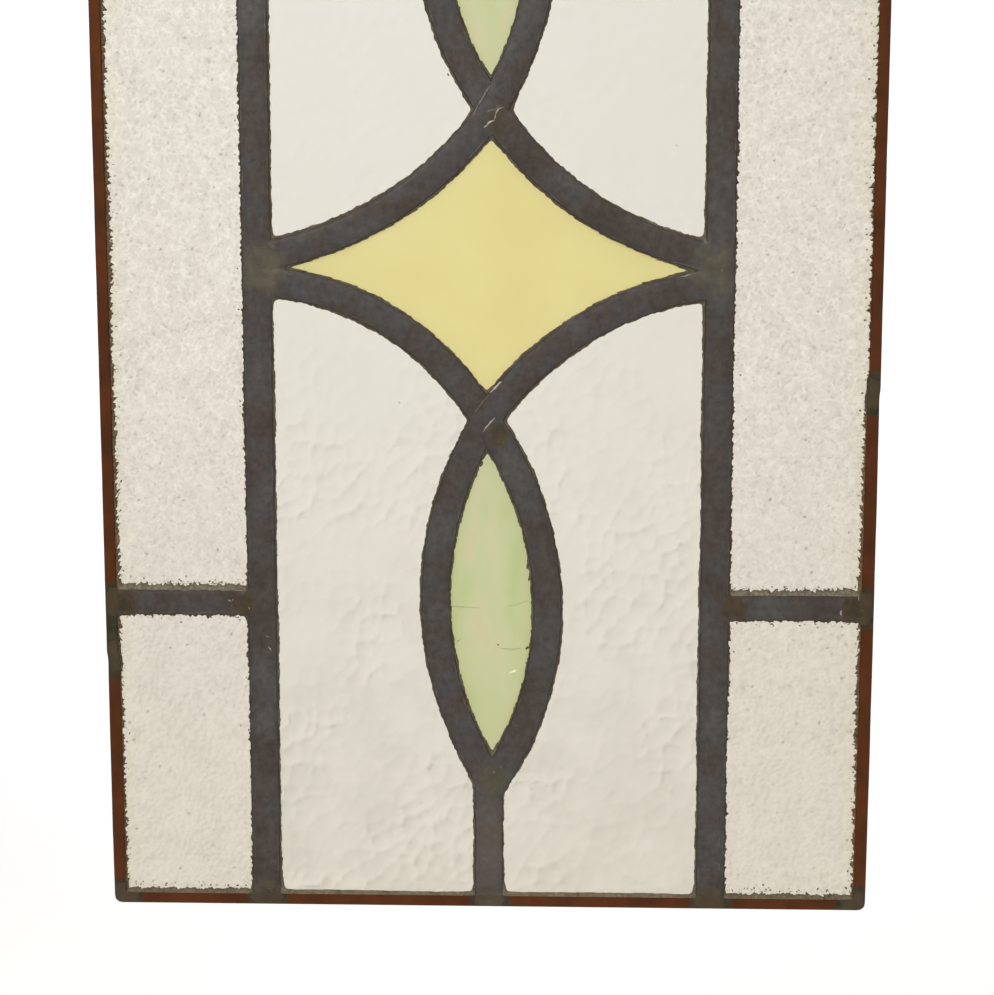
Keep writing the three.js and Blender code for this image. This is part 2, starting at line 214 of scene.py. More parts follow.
def cells(x, z, size, seed):
    """The distance to the nearest of scattered points, one in each square cell, as a share of
    the cell's size, and a number from 0 to 1 that belongs to that point."""
    gx, gz = x / size, z / size
    ix, iz = np.floor(gx).astype(np.int64), np.floor(gz).astype(np.int64)
    nearest = np.full(x.shape, 9.0)
    tag = np.zeros(x.shape)
    for dx in (-1, 0, 1):
        for dz in (-1, 0, 1):
            cx, cz = ix + dx, iz + dz
            px = cx + lattice(cx, cz, seed)
            pz = cz + lattice(cx, cz, seed + 1)
            d = np.hypot(gx - px, gz - pz)
            tag = np.where(d < nearest, lattice(cx, cz, seed + 2), tag)
            nearest = np.minimum(nearest, d)
    return nearest, tag


def ease(t):
    """0 below 0, 1 above 1, and a smooth rise between."""
    t = np.clip(t, 0, 1)
    return t * t * (3 - 2 * t)


# ---- Meshes ----------------------------------------------------------------------------------

def grid_faces(rows, cols, rows_close=False, cols_close=False):
    """Four-sided faces of a grid of rows x cols points; a closed way joins last to first."""
    r = np.arange(rows if rows_close else rows - 1)[:, None]
    c = np.arange(cols if cols_close else cols - 1)[None, :]
    r2, c2 = (r + 1) % rows, (c + 1) % cols
    corners = (r * cols + c, r * cols + c2, r2 * cols + c2, r2 * cols + c)
    return np.stack(corners, -1).reshape(-1, 4)


def tube_faces(rows, cols):
    """Faces of a closed section of cols points carried through rows places, with flat ends."""
    ends = np.arange(cols)[None, :]
    return [grid_faces(rows, cols, cols_close=True), ends[:, ::-1], ends + (rows - 1) * cols]


def in_space(plan, height, face=FRONT):
    """Plan points (..., 2) at heights over the mid-plane, as points (..., 3)."""
    height = np.broadcast_to(height, plan.shape[:-1])
    return np.stack((plan[..., 0], -face * height, plan[..., 1]), -1)


def six_volumes(points, faces):
    """Six times the volume that faces enclose; less than nothing if they face inwards."""
    total = 0.0
    for group in faces:
        p = points[group]
        for k in range(1, group.shape[1] - 1):
            total += np.einsum("ij,ij->", p[:, 0], np.cross(p[:, k], p[:, k + 1]))
    return total


def circle(spokes):
    """Unit vectors all the way round."""
    angle = np.linspace(0, TAU, spokes, endpoint=False)
    return np.stack((np.cos(angle), np.sin(angle)), -1)


def dome_ends(spokes, first, last, pole):
    """Faces that close a low dome: from its rings of points first and last to its crown, which
    is point number pole, and to the middle of its foot, the point after it."""
    after = np.roll(np.arange(spokes), -1)
    cap = np.stack((np.full(spokes, pole), first[after], first), -1)
    under = np.stack((np.full(spokes, pole + 1), last, last[after]), -1)
    return cap, under


def add_object(name, data):
    """A new object in the scene."""
    obj = bpy.data.objects.new(name, data)
    bpy.context.scene.collection.objects.link(obj)
    return obj


def piece(name, parts, material, nodes=(), sharp=40):
    """One object from closed parts, each its points in mm, its faces in arrays by number of
    corners, and an attribute's values by name. Each part is turned to face outwards."""
    points, loops, sizes, base = [], [], [], 0
    for places, faces, _ in parts:
        flip = six_volumes(places, faces) < 0
        for group in faces:
            group = group[:, ::-1] if flip else group
            loops.append((group + base).ravel())
            sizes.append(np.full(len(group), group.shape[1]))
        points.append(places)
        base += len(places)
    points, loops, sizes = map(np.concatenate, (points, loops, sizes))
    mesh = bpy.data.meshes.new(name)
    mesh.vertices.add(len(points))
    mesh.vertices.foreach_set("co", (points * MM).astype(np.float32).ravel())
    mesh.loops.add(len(loops))
    mesh.loops.foreach_set("vertex_index", loops.astype(np.int32))
    mesh.polygons.add(len(sizes))
    starts = np.concatenate(([0], np.cumsum(sizes)[:-1]))
    mesh.polygons.foreach_set("loop_start", starts.astype(np.int32))
    mesh.update(calc_edges=True)
    mesh.validate()
    mesh.shade_smooth()
    mesh.set_sharp_from_angle(angle=math.radians(sharp))
    for key in parts[0][2]:
        values = [np.broadcast_to(values[key], len(places)) for places, _, values in parts]
        layer = mesh.attributes.new(key, "FLOAT", "POINT")
        layer.data.foreach_set("value", np.concatenate(values).astype(np.float32))
    mesh.materials.append(material)
    obj = add_object(name, mesh)
    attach(obj, "root")
    if nodes:
        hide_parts(*nodes)


# ---- Materials -------------------------------------------------------------------------------

COORDS, ATTRIBUTE, NOISE = "ShaderNodeTexCoord", "ShaderNodeAttribute", "ShaderNodeTexNoise"
RAMP, MIX, RANGE = "ShaderNodeValToRGB", "ShaderNodeMix", "ShaderNodeMapRange"
MATHS, BUMP = "ShaderNodeMath", "ShaderNodeBump"
COLOURS = {"data_type": "RGBA"}
MULTIPLIED = {"data_type": "RGBA", "blend_type": "MULTIPLY"}
OVERLAID = {"data_type": "RGBA", "blend_type": "OVERLAY"}
TIMES = {"operation": "MULTIPLY"}
PLUS = {"operation": "ADD"}
PER_M = 1000  # the scale of a pattern is this over its size in mm
SOFT = {"Detail": 3, "Roughness": 0.6}  # how finely a pattern is broken up


def linear(hex_colour):
    """An sRGB hex colour as linear red, green, blue and 1."""
    parts = [int(hex_colour[i:i + 2], 16) / 255 for i in (1, 3, 5)]
    return [c / 12.92 if c <= 0.04045 else ((c + 0.055) / 1.055) ** 2.4 for c in parts] + [1]


def node(tree, kind, settings=None, stops=(), out=0, **links):
    """Adds a node and gives one of its outputs, by number or name. settings are the node's own
    properties, and stops a colour ramp's positions and hex colours. links are its sockets, by
    name with _ for a space or by number after _: a value, a hex colour or another's output."""
    made = tree.nodes.new(kind)
    for key, value in (settings or {}).items():
        setattr(made, key, value)
    for k, (position, colour) in enumerate(stops):
        band = made.color_ramp.elements
        stop = band[k] if k < 2 else band.new(position)
        stop.position = position
        stop.color = linear(colour)
    for key, value in links.items():
        socket = made.inputs[int(key[1:])] if key[1:].isdigit() else made.inputs[key.replace("_", " ")]
        if isinstance(value, bpy.types.NodeSocket):
            tree.links.new(value, socket)
        else:
            socket.default_value = linear(value) if isinstance(value, str) else value
    return made.outputs[out]


def material(name, **plain):
    """A new material with one Principled shader and plain values on its sockets, and the
    Object coordinates, which are places in the panel in metres."""
    made = bpy.data.materials.new(name)
    made.use_nodes = True
    shader = made.node_tree.nodes["Principled BSDF"]
    for key, value in plain.items():
        socket = shader.inputs[key.replace("_", " ")]
        socket.default_value = linear(value) if isinstance(value, str) else value
    return made, made.node_tree, node(made.node_tree, COORDS, out="Object")


def finish(made, **outputs):
    """Joins outputs to the shader's sockets, by name with _ for a space."""
    shader = made.node_tree.nodes["Principled BSDF"]
    for key, output in outputs.items():
        made.node_tree.links.new(output, shader.inputs[key.replace("_", " ")])
    return made


def lead_colour(tree, at):
    """Grey oxide in bluer and browner blotches 5 to 20 mm wide, with finer mottling."""
    wide = node(tree, NOISE, Vector=at, Scale=PER_M / 22, **SOFT)
    blotch = node(tree, RAMP, Fac=wide, stops=((0.36, "#5c5551"), (0.46, "#645d59"),
                                               (0.55, "#626160"), (0.66, "#6b6a68")))
    close = node(tree, NOISE, Vector=at, Scale=PER_M / 3.2, Detail=4, Roughness=0.6)
    fine = node(tree, RAMP, Fac=close, stops=((0.3, "#655f5c"), (0.72, "#9b9693")))
    mottled = node(tree, MIX, OVERLAID, out=2, _0=0.7, _6=blotch, _7=fine)
    worn = node(tree, ATTRIBUTE, {"attribute_name": "wear"}, out="Fac")
    return node(tree, MIX, COLOURS, out=2, _0=worn, _6=mottled, _7="#7d726a")


def old_lead():
    """Milled lead, gone dull: a grey oxide with a soft sheen and no clear reflection. It is painted
    darker from its middle out towards its edges: painted shade, as if its crown caught more
    light. Cement has stained its very edges, and a thin line just inside them is painted
    brighter: a painted highlight along the ridge there, where the lead is also rubbed."""
    made, tree, at = material("old_lead_oxide", Metallic=0.8)
    share, beside = (node(tree, ATTRIBUTE, {"attribute_name": a}, out="Fac") for a in ("share", "line"))
    # painted shade: the lead is darker from its middle out towards its edges
    painted_edge_shade = node(tree, RANGE, _0=share, _1=0.45, _4=0.28)
    patchy = node(tree, NOISE, Vector=at, Scale=PER_M / 5, **SOFT)
    patchy = node(tree, RANGE, _0=patchy, _1=0.35, _2=0.6, _3=0.25, _4=0.9)
    stained = node(tree, MATHS, TIMES, _0=node(tree, RANGE, _0=share, _1=0.86, _2=0.97), _1=patchy)
    patchy = node(tree, NOISE, Vector=at, Scale=PER_M / 9, Detail=4, Roughness=0.65)
    patchy = node(tree, RANGE, _0=patchy, _1=0.54, _2=0.7, _4=0.5)
    # painted highlight: a thin line beside each edge is painted brighter, where the lead is also rubbed
    highlight_line_and_wear = node(tree, MATHS, TIMES, _0=node(tree, RANGE, _0=beside, _1=0.3), _1=patchy)
    colour = lead_colour(tree, at)
    for amount, tint in ((painted_edge_shade, "#443c39"), (stained, "#3a332a"), (highlight_line_and_wear, "#8b847e")):
        colour = node(tree, MIX, COLOURS, out=2, _0=amount, _6=colour, _7=tint)
    rough = node(tree, NOISE, Vector=at, Scale=PER_M / 3, Detail=4, Roughness=0.65)
    rough = node(tree, RANGE, _0=rough, _1=0.3, _2=0.7, _3=0.42, _4=0.62)
    dents = node(tree, NOISE, Vector=at, Scale=PER_M / 1.3, Detail=5, Roughness=0.7)
    dents = node(tree, BUMP, Height=dents, Distance=0.08 * MM)
    return finish(made, Base_Color=colour, Roughness=rough, Normal=dents)


def old_solder():
    """Tin-lead solder run over a joint: a greenish grey skin where it is clean, a dark olive one
    where it has tarnished most. It takes the lead's colour where it thins out at its rim, and
    has small bright specks where it is rubbed and dark pits where flux sat."""
    made, tree, at = material("tarnished_solder", Metallic=0.8, Roughness=0.45)
    names = ("tarnish", "on_edge", "solder")
    tarnish, on_edge, thick = (node(tree, ATTRIBUTE, {"attribute_name": a}, out="Fac") for a in names)
    wide = node(tree, NOISE, Vector=at, Scale=PER_M / 6, **SOFT)
    clean = node(tree, RAMP, Fac=wide, stops=((0.3, "#534f46"), (0.5, "#5c584d"), (0.7, "#666154")))
    dark = node(tree, RAMP, Fac=wide, stops=((0.3, "#3b3326"), (0.5, "#483e2f"), (0.7, "#564b39")))
    skin = node(tree, MIX, COLOURS, out=2, _0=tarnish, _6=clean, _7=dark)
    browner = node(tree, RANGE, _0=on_edge, _4=0.55)
    pit = node(tree, NOISE, Vector=at, Scale=PER_M / 1.6, **SOFT)
    pit = node(tree, RANGE, _0=pit, _1=0.32, _2=0.25)
    speck = node(tree, NOISE, Vector=at, Scale=PER_M / 0.9, Detail=2, Roughness=0.5)
    speck = node(tree, RANGE, _0=speck, _1=0.73, _2=0.80)
    for amount, tint in ((browner, "#4c3f2c"), (pit, "#2c271c"), (speck, "#9a9484")):
        skin = node(tree, MIX, COLOURS, out=2, _0=amount, _6=skin, _7=tint)
    uneven = node(tree, NOISE, Vector=at, Scale=PER_M / 5, **SOFT)
    uneven = node(tree, RANGE, _0=uneven, _1=0.3, _2=0.7, _3=-0.2, _4=0.2)
    thick = node(tree, RANGE, _0=node(tree, MATHS, PLUS, _0=thick, _1=uneven), _1=0.1, _2=0.5)
    below = node(tree, MIX, COLOURS, out=2, _0=on_edge, _6=lead_colour(tree, at), _7="#3f3a2c")
    colour = node(tree, MIX, COLOURS, out=2, _0=thick, _6=below, _7=skin)
    relief = node(tree, NOISE, Vector=at, Scale=PER_M / 2.2, Detail=3, Roughness=0.5)
    relief = node(tree, BUMP, Height=relief, Distance=0.12 * MM)
    return finish(made, Base_Color=colour, Normal=relief)


def worn_metal_and_glint():
    """Lead or solder scraped or rubbed bare, on ridges and scratches: still grey, but bright, and painted
    brighter still as glints of light on those ridges.
    """
    made, tree, at = material("bare_lead_and_painted_glint", Metallic=0.8, Roughness=0.4)
    uneven = node(tree, NOISE, Vector=at, Scale=PER_M / 3, **SOFT)
    scraped_and_glint = node(tree, RAMP, Fac=uneven, stops=((0.35, "#857e73"), (0.65, "#b9b2a5")))
    # painted highlight: bare mixes in the bright scraped colour, which also stands for glints of light
    bare = node(tree, ATTRIBUTE, {"attribute_name": "bare"}, out="Fac")
    return finish(made, Base_Color=node(tree, MIX, COLOURS, out=2, _0=bare, _6="#6d6660", _7=scraped_and_glint))


def opal_chip_glint():
    """The fresh face of a small shell-shaped chip in opal glass: paler and glossier, and painted pale as a
    glint of reflected light.
    """
    return material("opal_chip_painted_glint", Base_Color="#f1edcb", Roughness=0.15, IOR=1.5)[0]


def bronzed_edge():
    """A thin U of metal with a brown chemical patina, redder where it is rubbed, and gone
    olive black near its soldered joints: a satin metal."""
    made, tree, at = material("bronzed_edge_patina", Metallic=0.95, Roughness=0.45)
    wide = node(tree, NOISE, Vector=at, Scale=PER_M / 14, Detail=4, Roughness=0.6)
    brown = node(tree, RAMP, Fac=wide, stops=((0.32, "#4d2d1b"), (0.5, "#57321d"),
                                              (0.62, "#5c351f"), (0.72, "#5e2f1d")))
    close = node(tree, NOISE, Vector=at, Scale=PER_M / 4, **SOFT)
    dark = node(tree, RAMP, Fac=close, stops=((0.3, "#33301f"), (0.7, "#49443a")))
    uneven = node(tree, NOISE, Vector=at, Scale=PER_M / 7, **SOFT)
    uneven = node(tree, RANGE, _0=uneven, _1=0.3, _2=0.7, _3=-0.25, _4=0.25)
    near = node(tree, ATTRIBUTE, {"attribute_name": "solder"}, out="Fac")
    near = node(tree, RANGE, _0=node(tree, MATHS, PLUS, _0=near, _1=uneven), _1=0.3, _2=0.72)
    colour = node(tree, MIX, COLOURS, out=2, _0=near, _6=brown, _7=dark)
    relief = node(tree, NOISE, Vector=at, Scale=PER_M / 1.4, Detail=4, Roughness=0.6)
    relief = node(tree, BUMP, Height=relief, Distance=0.06 * MM)
    return finish(made, Base_Color=colour, Normal=relief)


def glazing_cement():
    """Whiting and oil cement, pushed under the leads and gone hard: near black where it is
    thin and dirty, grey where a lip of it stands up, brown beside the bronzed edge. Dull, and
    crumbly at the scale of 0.5 mm."""
    made, tree, at = material("dried_glazing_cement", Roughness=0.9, Specular_IOR_Level=0.1)
    grey, brown = (node(tree, ATTRIBUTE, {"attribute_name": a}, out="Fac") for a in ("grey", "brown"))
    wide = node(tree, NOISE, Vector=at, Scale=PER_M / 1.5, **SOFT)
    dark = node(tree, RAMP, Fac=wide, stops=((0.3, "#352f22"), (0.7, "#584f3b")))
    close = node(tree, NOISE, Vector=at, Scale=PER_M / 1.3, Detail=3, Roughness=0.7)
    pale = node(tree, RAMP, Fac=close, stops=((0.34, "#625b4b"), (0.52, "#767060"), (0.68, "#8c8575")))
    patchy = node(tree, NOISE, Vector=at, Scale=PER_M / 1.8, **SOFT)
    rusty = node(tree, RAMP, Fac=patchy, stops=((0.32, "#4a3b26"), (0.5, "#65513a"), (0.7, "#857058")))
    colour = node(tree, MIX, COLOURS, out=2, _0=grey, _6=dark, _7=pale)
    colour = node(tree, MIX, COLOURS, out=2, _0=brown, _6=colour, _7=rusty)
    crumbly = node(tree, NOISE, Vector=at, Scale=PER_M / 0.6, Detail=3, Roughness=0.7)
    crumbly = node(tree, BUMP, Height=crumbly, Distance=0.2 * MM)
    return finish(made, Base_Color=colour, Normal=crumbly)


def granite_glass():
    """Clear rolled glass with a crystallised face, as a granite roller leaves it: a warm white
    with a broken network of fine pale lines about 4 mm apart, clearer high on the panel, and a
    grey fleck of painted shade in many of the small pits; its tone also holds the painted light
    and shade of the relief. Oil has yellowed it beside the edge."""
    made, tree, at = material("granite_rolled_glass", Transmission_Weight=1.0, Roughness=0.08,
                              IOR=1.5)
    tone = node(tree, ATTRIBUTE, {"attribute_name": "tone"}, out="Fac")
    colour = node(tree, RAMP, Fac=tone, stops=((0.0, "#dfd7c6"), (0.25, "#cec5b3"),
                                               (0.5, "#aea594"), (1.0, "#3c362b")))
    wavy = node(tree, NOISE, out="Color", Vector=at, Scale=PER_M / 3.2, Detail=1)
    sway = (4.5 * MM,) * 3
    moved = node(tree, "ShaderNodeVectorMath", {"operation": "MULTIPLY_ADD"}, _0=wavy, _1=sway, _2=at)
    lines = node(tree, "ShaderNodeTexVoronoi", {"feature": "DISTANCE_TO_EDGE"}, Vector=moved,
                 Scale=PER_M / 3.9)
    lines = node(tree, RANGE, _0=lines, _1=0.13, _2=0.04)
    broken = node(tree, NOISE, Vector=at, Scale=PER_M / 4.5, Detail=2, Roughness=0.5)
    broken = node(tree, RANGE, _0=broken, _1=0.40, _2=0.56, _4=0.6)
    level = node(tree, "ShaderNodeSeparateXYZ", out="Z", Vector=at)
    level = node(tree, RANGE, _0=level, _1=0.07, _2=0.24, _3=0.25)
    lines = node(tree, MATHS, TIMES, _0=lines, _1=node(tree, MATHS, TIMES, _0=broken, _1=level))
    colour = node(tree, MIX, COLOURS, out=2, _0=lines, _6=colour, _7="#e4ddcd")
    oil = node(tree, ATTRIBUTE, {"attribute_name": "oil"}, out="Fac")
    return finish(made, Base_Color=node(tree, MIX, MULTIPLIED, out=2, _0=oil, _6=colour, _7="#fbfae9"))


def hammered_glass():
    """Clear cathedral glass with a lightly hammered face: shallow dimples 5 to 7 mm across
    that bend what is seen through them. Its colour follows a tone that holds painted light and shade."""
    made, tree, _ = material("hammered_cathedral_glass", Transmission_Weight=1.0, Roughness=0.02,
                             IOR=1.5)
    tone = node(tree, ATTRIBUTE, {"attribute_name": "tone"}, out="Fac")
    stops = ((0.0, "#dad4c3"), (0.3, "#d0c9b8"), (1.0, "#8a816d"))
    return finish(made, Base_Color=node(tree, RAMP, Fac=tone, stops=stops))


OPAL = {"Transmission_Weight": 0.3, "Roughness": 0.5, "IOR": 1.5,
        "Coat_Weight": 0.5, "Coat_Roughness": 0.05}


def yellow_opal():
    """Straw yellow opal glass: milky all through, so that it glows evenly, under a smooth
    glossy skin."""
    made, tree, at = material("yellow_opal_glass", **OPAL)
    wide = node(tree, NOISE, Vector=at, Scale=PER_M / 40, Detail=2, Roughness=0.5)
    return finish(made, Base_Color=node(tree, RAMP, Fac=wide, stops=((0.3, "#e6da91"), (0.7, "#eae19c"))))


def green_opal():
    """Pale green streaky opal glass: milky white drawn out with green and a little straw
    colour in soft streaks that run up the leaf, and a deeper green beside the leads."""
    made, tree, at = material("green_streaky_opal_glass", **OPAL)
    along = node(tree, "ShaderNodeMapping", Vector=at, Scale=(1.0, 1.0, 0.5))
    streak = node(tree, NOISE, Vector=along, Scale=PER_M / 17, Detail=3, Roughness=0.5)
    colour = node(tree, RAMP, Fac=streak, stops=((0.34, "#c2cd90"), (0.47, "#cdd3a1"),
                                                 (0.58, "#d4d3a6"), (0.7, "#d6cd9f")))
    beside = node(tree, ATTRIBUTE, {"attribute_name": "beside"}, out="Fac")
    return finish(made, Base_Color=node(tree, MIX, COLOURS, out=2, _0=beside, _6=colour, _7="#c3cb86"))


LEAD, SOLDER, WORN_AND_GLINT, EDGE = old_lead(), old_solder(), worn_metal_and_glint(), bronzed_edge()
CEMENT, CHIP_GLINT, YELLOW, GREEN = glazing_cement(), opal_chip_glint(), yellow_opal(), green_opal()
GRANITE, HAMMERED = granite_glass(), hammered_glass()


# ---- Lead cames ------------------------------------------------------------------------------

BEAD_AT = 0.80  # a shallow groove follows each edge of a leaf, at this share of its half width
BEAD_DEEP, BEAD_WIDE = 0.07, 0.035
CROWN_POWER = 2.4  # how level the crown is before it falls towards the edges
HIGHLIGHT_LINE_AT, HIGHLIGHT_LINE_WIDE = 0.88, 0.045  # the line beside the edges that is painted bright: a painted highlight, where the lead is also rubbed
WANDER, JAG = 0.10, 0.05  # how far an edge strays, slowly and quickly
DENT = 0.12  # depth of the dents in its faces
TUCK, TUCK_LONG = 0.07, 7  # a tucked end is thinner by this share, over this length


def crown_at(share):
    """Height of a lead's outer surface, by the distance from its middle as a share of its
    half width: a low crown, level at the middle and falling towards the edges."""
    groove = BEAD_DEEP * np.exp(-((np.abs(share) - BEAD_AT) / BEAD_WIDE) ** 2)
    return LEAD_CROWN - (LEAD_CROWN - LEAD_EDGE) * np.abs(share) ** CROWN_POWER - groove


def lead_section(face):
    """The H-shaped section as points (across, height), all the way round: the front leaf from
    right to left, then the same turned half round for the back leaf."""
    half = face / 2
    right = np.array((0.965, 0.92, 0.87, 0.835, 0.8, 0.765, 0.72, 0.6, 0.42, 0.22))
    over = half * np.concatenate((right, (0,), -right[::-1]))
    outer = np.stack((over, crown_at(over / half)), -1)
    lip = np.array(((HEART, CHANNEL_FACE), (half - 0.2, CHANNEL_FACE),
                    (half, CHANNEL_FACE + 0.14), (half, LEAD_EDGE - 0.16)))
    leaf = np.concatenate((lip, outer, lip[::-1] * (-1, 1)))
    return np.concatenate((leaf, -leaf))


def path_of(ways, trims, step):
    """Distances step apart along ways that follow on, cut back by trims at the two ends, and
    the points at those distances."""
    fine = np.concatenate([walked(w, 400)[(k > 0):] for k, w in enumerate(ways)])
    run = run_along(fine)
    s = np.linspace(trims[0], run[-1] - trims[1], int((run[-1] - sum(trims)) / step) + 2)
    return s, spread_out(fine, run, s)


def came(name, ways, trims, tucked, face=LEAD_FACE, step=2.4, seed=0, wear=0.0):
    """A lead: the H section carried along its path. Its edges wander by a tenth of a
    millimetre or so, its faces are dented a little, and a tucked end sinks under a neighbour."""
    s, p = path_of(ways, trims, step)
    section = lead_section(face)
    half = face / 2
    share = np.abs(section[:, 0]) / half
    outside = np.abs(section[:, 1]) > CHANNEL_FACE + 0.2
    # painted highlight: the line beside each edge that the lead's material paints brighter
    beside = np.exp(-((share - HIGHLIGHT_LINE_AT) / HIGHLIGHT_LINE_WIDE) ** 2) * outside
    worn = wear * np.sin(math.pi * np.linspace(0, 1, len(s))) ** 0.5
    # share carries the painted shade towards the edges and the cement stain; line carries the painted
    # highlight beside each edge
    values = {"share": np.tile(share, len(s)), "line": np.tile(beside, len(s)),
              "wear": np.repeat(worn, len(share))}
    across, height = section.T[:, None, :]
    wander = np.where(across > 0, wave(s, 47, seed)[:, None], wave(s, 39, seed + 1)[:, None])
    jag = np.where(across > 0, wave(s, 9, seed + 2)[:, None], wave(s, 7, seed + 3)[:, None])
    across = across * (1 + (WANDER * wander + JAG * jag) / half)
    outward = np.sign(height)
    dents = cloud(s[:, None] + 0 * across, across + 20 * outward, 7, seed + 4) - 0.5
    height = height + outward * (np.abs(height) > CHANNEL_FACE + 0.3) * DENT * dents
    from_ends = (s - s[0])[:, None], (s[-1] - s)[:, None]
    for under, distance in zip(tucked, from_ends):
        if under:
            height = height * (1 - TUCK * (1 - ease(distance / TUCK_LONG)))
    plan = p[:, None, :] + across[..., None] * left_normals(p)[:, None, :]
    part = in_space(plan, height).reshape(-1, 3), tube_faces(*across.shape), values
    piece(f"{name}_lead", [part], LEAD, [name])


def make_cames():
    """Every lead: the straight ones of the borders, the bent ones, then the stems."""
    end = RIM_FACE + 0.1  # where a lead stops short, just inside the edge came
    for side, word in SIDES:
        came(f"upright_came_{word}", [UPRIGHT[side]], (end, end), (0, 0), seed=10 + side)
        for level, z in (("lower", CROSS_LOW[side]), ("upper", CROSS_HIGH[side])):
            way = cross_way(side, z)
            came(f"cross_came_{level}_{word}", [way], (LEAD_FACE / 2 - 0.7, RIM_FACE - 0.2), (1, 0),
                 CROSS_FACE, seed=20 + side + int(z))
    butt = LEAD_FACE / 2 - 1
    came("through_came_upper", [DIAMOND_UL, UP_LEAF_RIGHT], (butt, 0), (1, 0), seed=31)
    came("through_came_lower", [DIAMOND_LR, LEAF_LEFT], (butt, 0), (1, 0), seed=41)
    came("diamond_came_upper_right", [DIAMOND_UR], (butt, 3), (1, 1), seed=51)
    came("diamond_came_lower_left", [DIAMOND_LL], (butt, 3), (1, 1), seed=61)
    came("leaf_came_upper_left", [UP_LEAF_LEFT], (4, 1), (1, 1), seed=71)
    came("leaf_came_lower_right", [LEAF_RIGHT], (4, 1), (1, 1), seed=81)
    came("stem_came_upper", [STEM_HIGH], (end, 2), (0, 1), seed=91, wear=0.28)
    came("stem_came_lower", [STEM_LOW], (end, 2), (0, 1), seed=101, wear=0.28)


# ---- The outside of the leads, as a height over any point --------------------------------------

def side_reach(side, z):
    """How far out the edge came stands at a height: its upper length is a little wider."""
    low, high = SIDE_LOWER[side], SIDE_UPPER[side]
    return low + (high - low) * ease((z - SPLICE[side]) / 5 + 0.5)


def depth_in(p):
    """How far points lie inside the panel's outline, whose corners are rounded."""
    x, z = p[..., 0], p[..., 1]
    side = np.where(x < 0, side_reach(-1, z), side_reach(1, z)) - np.abs(x)
    level = np.minimum(z, HEIGHT - z)
    both = (side < RIM_CORNER) & (level < RIM_CORNER)
    near_corner = RIM_CORNER - np.hypot(RIM_CORNER - side, RIM_CORNER - level)
    return np.where(both, near_corner, np.minimum(side, level))


def all_leads():
    """Points every millimetre along all the leads, each with its half width."""
    wide = (*UPRIGHT.values(), *LEAVES.values(), *SLOPES.values(), STEM_LOW, STEM_HIGH)
    narrow = [cross_way(side, z[side]) for side in (-1, 1) for z in (CROSS_LOW, CROSS_HIGH)]
    made = []
    for ways, face in ((wide, LEAD_FACE), (narrow, CROSS_FACE)):
        lengths = [run_along(walked(way, 60))[-1] for way in ways]
        made += [(walked(way, int(length) + 2), face / 2) for way, length in zip(ways, lengths)]
    return made


LEADS = all_leads()


FUSE = 8  # the power of the mean that joins leads: the higher, the tighter the corners


def metal_height(p, spread=0.0):
    """Height of the metal's outer surface over points of the plan, as if leads that cross had
    run together: each lead's height over the glass, added as a power mean. spread lets the
    metal run that much beyond the leads' edges."""
    flat = p.reshape(-1, 2)
    total = np.zeros(len(flat))
    for line_points, half in LEADS:
        close = line_points[((line_points > flat.min(0) - 14) & (line_points < flat.max(0) + 14)).all(1)]
        if not len(close):
            continue
        gap = flat[:, None, :] - close[None, :, :]
        d = np.sqrt((gap ** 2).sum(-1).min(1))
        share = np.clip(d / half, 0, 1)
        over = (crown_at(share) - GLASS_FACE) * (1 - ease((d - half + 0.35 - spread) / 0.7))
        total += over ** FUSE
    inside = depth_in(flat)
    rim = (RIM_HEIGHT - GLASS_FACE) * ease(inside / 0.8 + 0.3)
    rim = rim * (1 - ease((inside - RIM_FACE + 0.3 - spread) / 0.6))
    total += (rim * (inside > 0)) ** FUSE
    return (GLASS_FACE + total ** (1 / FUSE)).reshape(p.shape[:-1])


# ---- Soldered joints -------------------------------------------------------------------------

PAD_LUMPS = 0.14  # mm that a pad's lumps rise and fall
PAD_DIP, PAD_RIM = 0.22, 0.14  # its skin dives by this much over this share of a spoke
PAD_SPREAD = 0.25  # and may run this far past the metal's edge
BEDDED = 0.01  # a pad's foot stands this far over the glass


def spoke_ends(centre, spoke, reach, seed):
    """How far each spoke of a pad goes out: along the metal to the reach, which is uneven, or
    to the first bare glass, a little past the metal's edge."""
    r = np.linspace(0.2, reach, 70)
    tried = centre + r[None, :, None] * spoke[:, None, :]
    bare = (metal_height(tried, PAD_SPREAD) < GLASS_FACE + 0.55) | (depth_in(tried) < 0.3)
    edge = np.where(bare.any(1), r[bare.argmax(1)], reach)
    angle = np.linspace(0, TAU, len(spoke), endpoint=False)
    return np.minimum(edge, reach * (0.9 + 0.1 * wave(angle * 6, 9, seed)))


